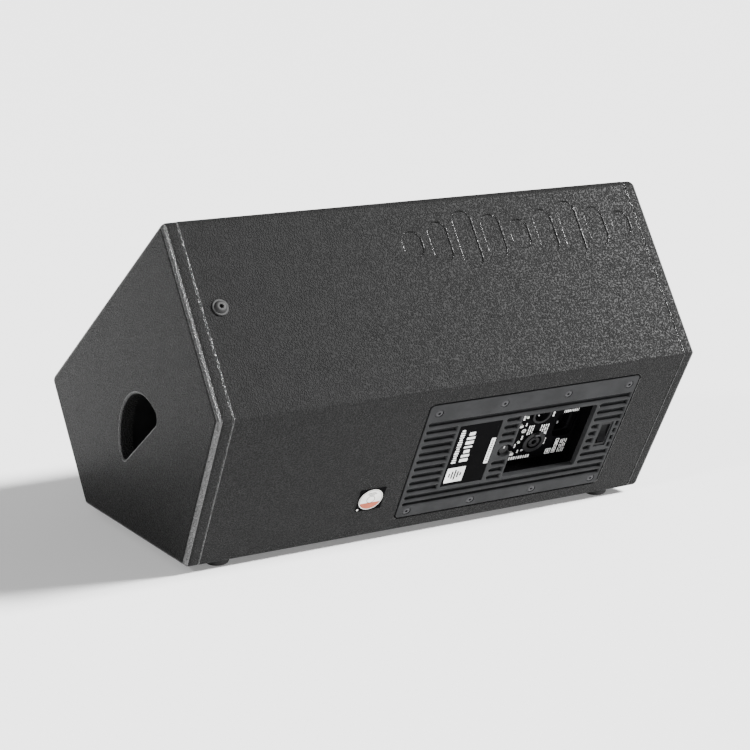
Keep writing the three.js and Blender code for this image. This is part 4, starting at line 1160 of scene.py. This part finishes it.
def build_plate_screws():
    """Each screw is left turned to an angle of its own."""
    top = -0.12
    shank = [(0, -18), (0.5, -17.6), (2.1, -14.5), (2.1, -2.7)]
    head = [(4.5, -2.7), (4.7, -2.4), (4.7, -1.2), (4.4, -0.6), (3.6, -0.25), (2.6, top)]
    for i, (x, y) in enumerate(SCREWS):
        bm = bmesh.new()
        capped_screw(bm, shank + head, 32, 1.75, top, 1.7)
        turn = Matrix.Rotation(math.radians(17 + 41 * i), 4, "Z")
        move = Matrix.Translation((x, y, 0)) @ turn
        name, node = f"socket_screw_{i + 1}", f"plate_screw_{i + 1}"
        piece(name, bm, "rear", "black_steel", node, move=move)


def build_round_label():
    """A foil disc on a dark backing, with a plain band of colour."""
    x = PLATE["x"] - ROUND_LABEL["x"]
    y = PLATE["down"] - ROUND_LABEL["down"]
    bm = bmesh.new()
    back = rounded_box(ROUND_LABEL["side"], ROUND_LABEL["side"], 1.2, x, y, 4)
    slab(bm, [at(back(), 0.22), at(back(), -0.2)])
    piece("round_label_backing", bm, "rear", "panel")
    r = ROUND_LABEL["disc"]
    bm = bmesh.new()
    slab(bm, [at(circle(r, x, y, 72)(), 0.34), at(circle(r, x, y, 72)(), 0.1)])
    corner = circle(1.3, x - 13.2, y - 13.2, 20)
    slab(bm, [at(corner(), 0.3), at(corner(), 0.1)])
    piece("round_label_foil", bm, "rear", "silver")
    bm = bmesh.new()
    lower = arc(x, y, r - 1.2, math.radians(200), math.radians(340), 24)
    slab(bm, [at(lower, 0.4), at(lower, 0.25)])
    piece("round_label_band", bm, "rear", "rust")
    bm = bmesh.new()
    for radius, wide in ((r - 0.9, 0.35), (5.0, 0.5)):
        outer, inner = circle(radius, x, y, 64), circle(radius - wide, x, y, 64)
        slab(bm, [at(outer(), 0.42), at(outer(), 0.25)], holes=[[at(inner(), 0.42), at(inner(), 0.25)]])
    for i, length in enumerate((9.0, 12.0, 7.0)):
        mark(bm, x, y + 9.5 - 1.7 * i, length, 0.6, 0.34, 0.2)
    piece("round_label_lines", bm, "rear", "panel")


# --- Inner pieces keep their CAD shape and get a finish
INNER_FINISH = {
    "coating": ["front_baffle"],
    "foam": ["grille_foam"],
    "black_steel": ["woofer_basket", "amp_housing"],
    "rubber": ["woofer_surround"],
    "paper": ["woofer_cone", "woofer_dust_cap"],
    "copper": ["woofer_voice_coil"],
    "cloth": ["woofer_spider"],
    "bright_steel": ["woofer_top_plate", "woofer_yoke"],
    "ferrite": ["woofer_magnet", "hf_driver_magnet", "power_transformer"],
    "plastic": ["horn_flare", "hf_driver_cover", "port_tube_low", "port_tube_high", "level_potentiometer"],
    "aluminium": ["hf_driver_body", "heat_transfer_bar"],
    "board": ["amp_circuit_board", "control_board"],
    "gloss": ["filter_capacitor"],
}


def finish_inner_nodes():
    for finish, names in INNER_FINISH.items():
        for name in names:
            for slot in NODES[name].material_slots:
                slot.material = MATERIALS[finish]


# --- Camera, floor and light
CAMERA = {
    "place": (1.0428, 1.8339, 0.6192), "heading": -150.947, "down": 14.877, "roll": -1.056,
    "lens": 90.1, "shift": (0.0357, 0.1059),
}
WORLD_STRENGTH = 0.26
FLOOR_GLOW = 0.25
# Direction towards the light, strength, and angular size in degrees.
SUNS = {"key": ((-0.70, 0.39, 0.60), 17.5, 16), "edge": ((0.736, 0.40, 0.547), 1.1, 6)}


def build_camera():
    heading, down = math.radians(CAMERA["heading"]), math.radians(CAMERA["down"])
    level = math.cos(down)
    forward = Vector((math.sin(heading) * level, math.cos(heading) * level, -math.sin(down)))
    across = forward.cross(Vector((0, 0, 1))).normalized()
    right = Matrix.Rotation(math.radians(CAMERA["roll"]), 3, -forward) @ across
    up = right.cross(forward)
    data = bpy.data.cameras.new("camera")
    data.lens, data.sensor_width = CAMERA["lens"], 36.0
    data.shift_x, data.shift_y = CAMERA["shift"]
    data.clip_start, data.clip_end = 0.05, 60.0
    obj = bpy.data.objects.new("camera", data)
    rows = [(right[i], up[i], -forward[i], CAMERA["place"][i]) for i in range(3)]
    obj.matrix_world = Matrix([*rows, (0, 0, 0, 1)])
    bpy.context.scene.collection.objects.link(obj)
    bpy.context.scene.camera = obj


def build_floor():
    bm = bmesh.new()
    bmesh.ops.create_grid(bm, x_segments=2, y_segments=2, size=30.0)
    mesh = bpy.data.meshes.new("floor")
    bm.to_mesh(mesh)
    bm.free()
    n = Nodes("pale_floor")
    n.set("Base Color", n.blend(n.noise(3.0), (0.84, 0.84, 0.84), (0.87, 0.87, 0.87)))
    n.set("Roughness", 0.9)
    n.set("Emission Color", (1.0, 1.0, 1.0, 1.0))
    n.set("Emission Strength", FLOOR_GLOW)
    mesh.materials.append(n.material)
    floor = bpy.data.objects.new("floor", mesh)
    floor.location.z = -0.0005
    bpy.context.scene.collection.objects.link(floor)


def sun(name, direction, strength, angle):
    data = bpy.data.lights.new(name, "SUN")
    data.energy = strength
    data.angle = math.radians(angle)
    obj = bpy.data.objects.new(name, data)
    obj.rotation_mode = "QUATERNION"
    obj.rotation_quaternion = Vector(direction).to_track_quat("Z", "Y")
    bpy.context.scene.collection.objects.link(obj)


def build_light():
    """An even world light, a broad sun from the camera's right, and a weak one from behind its left."""
    world = bpy.data.worlds.new("studio")
    world.use_nodes = True
    background = world.node_tree.nodes["Background"].inputs
    background["Color"].default_value = (1.0, 1.0, 1.0, 1)
    background["Strength"].default_value = WORLD_STRENGTH
    bpy.context.scene.world = world
    for name, values in SUNS.items():
        sun(name, *values)


build_camera()
build_tube()
build_end_panels()
build_handle_cup()
build_pole_socket()
build_feet()
build_rigging_bolt()
build_grille()
build_heatsink()
build_tray()
build_label()
build_tray_print()
build_xlr_input()
build_xlr_link()
build_inlet()
build_switch()
build_knob()
build_buttons()
build_plate_screws()
build_round_label()
finish_inner_nodes()
build_floor()
build_light()
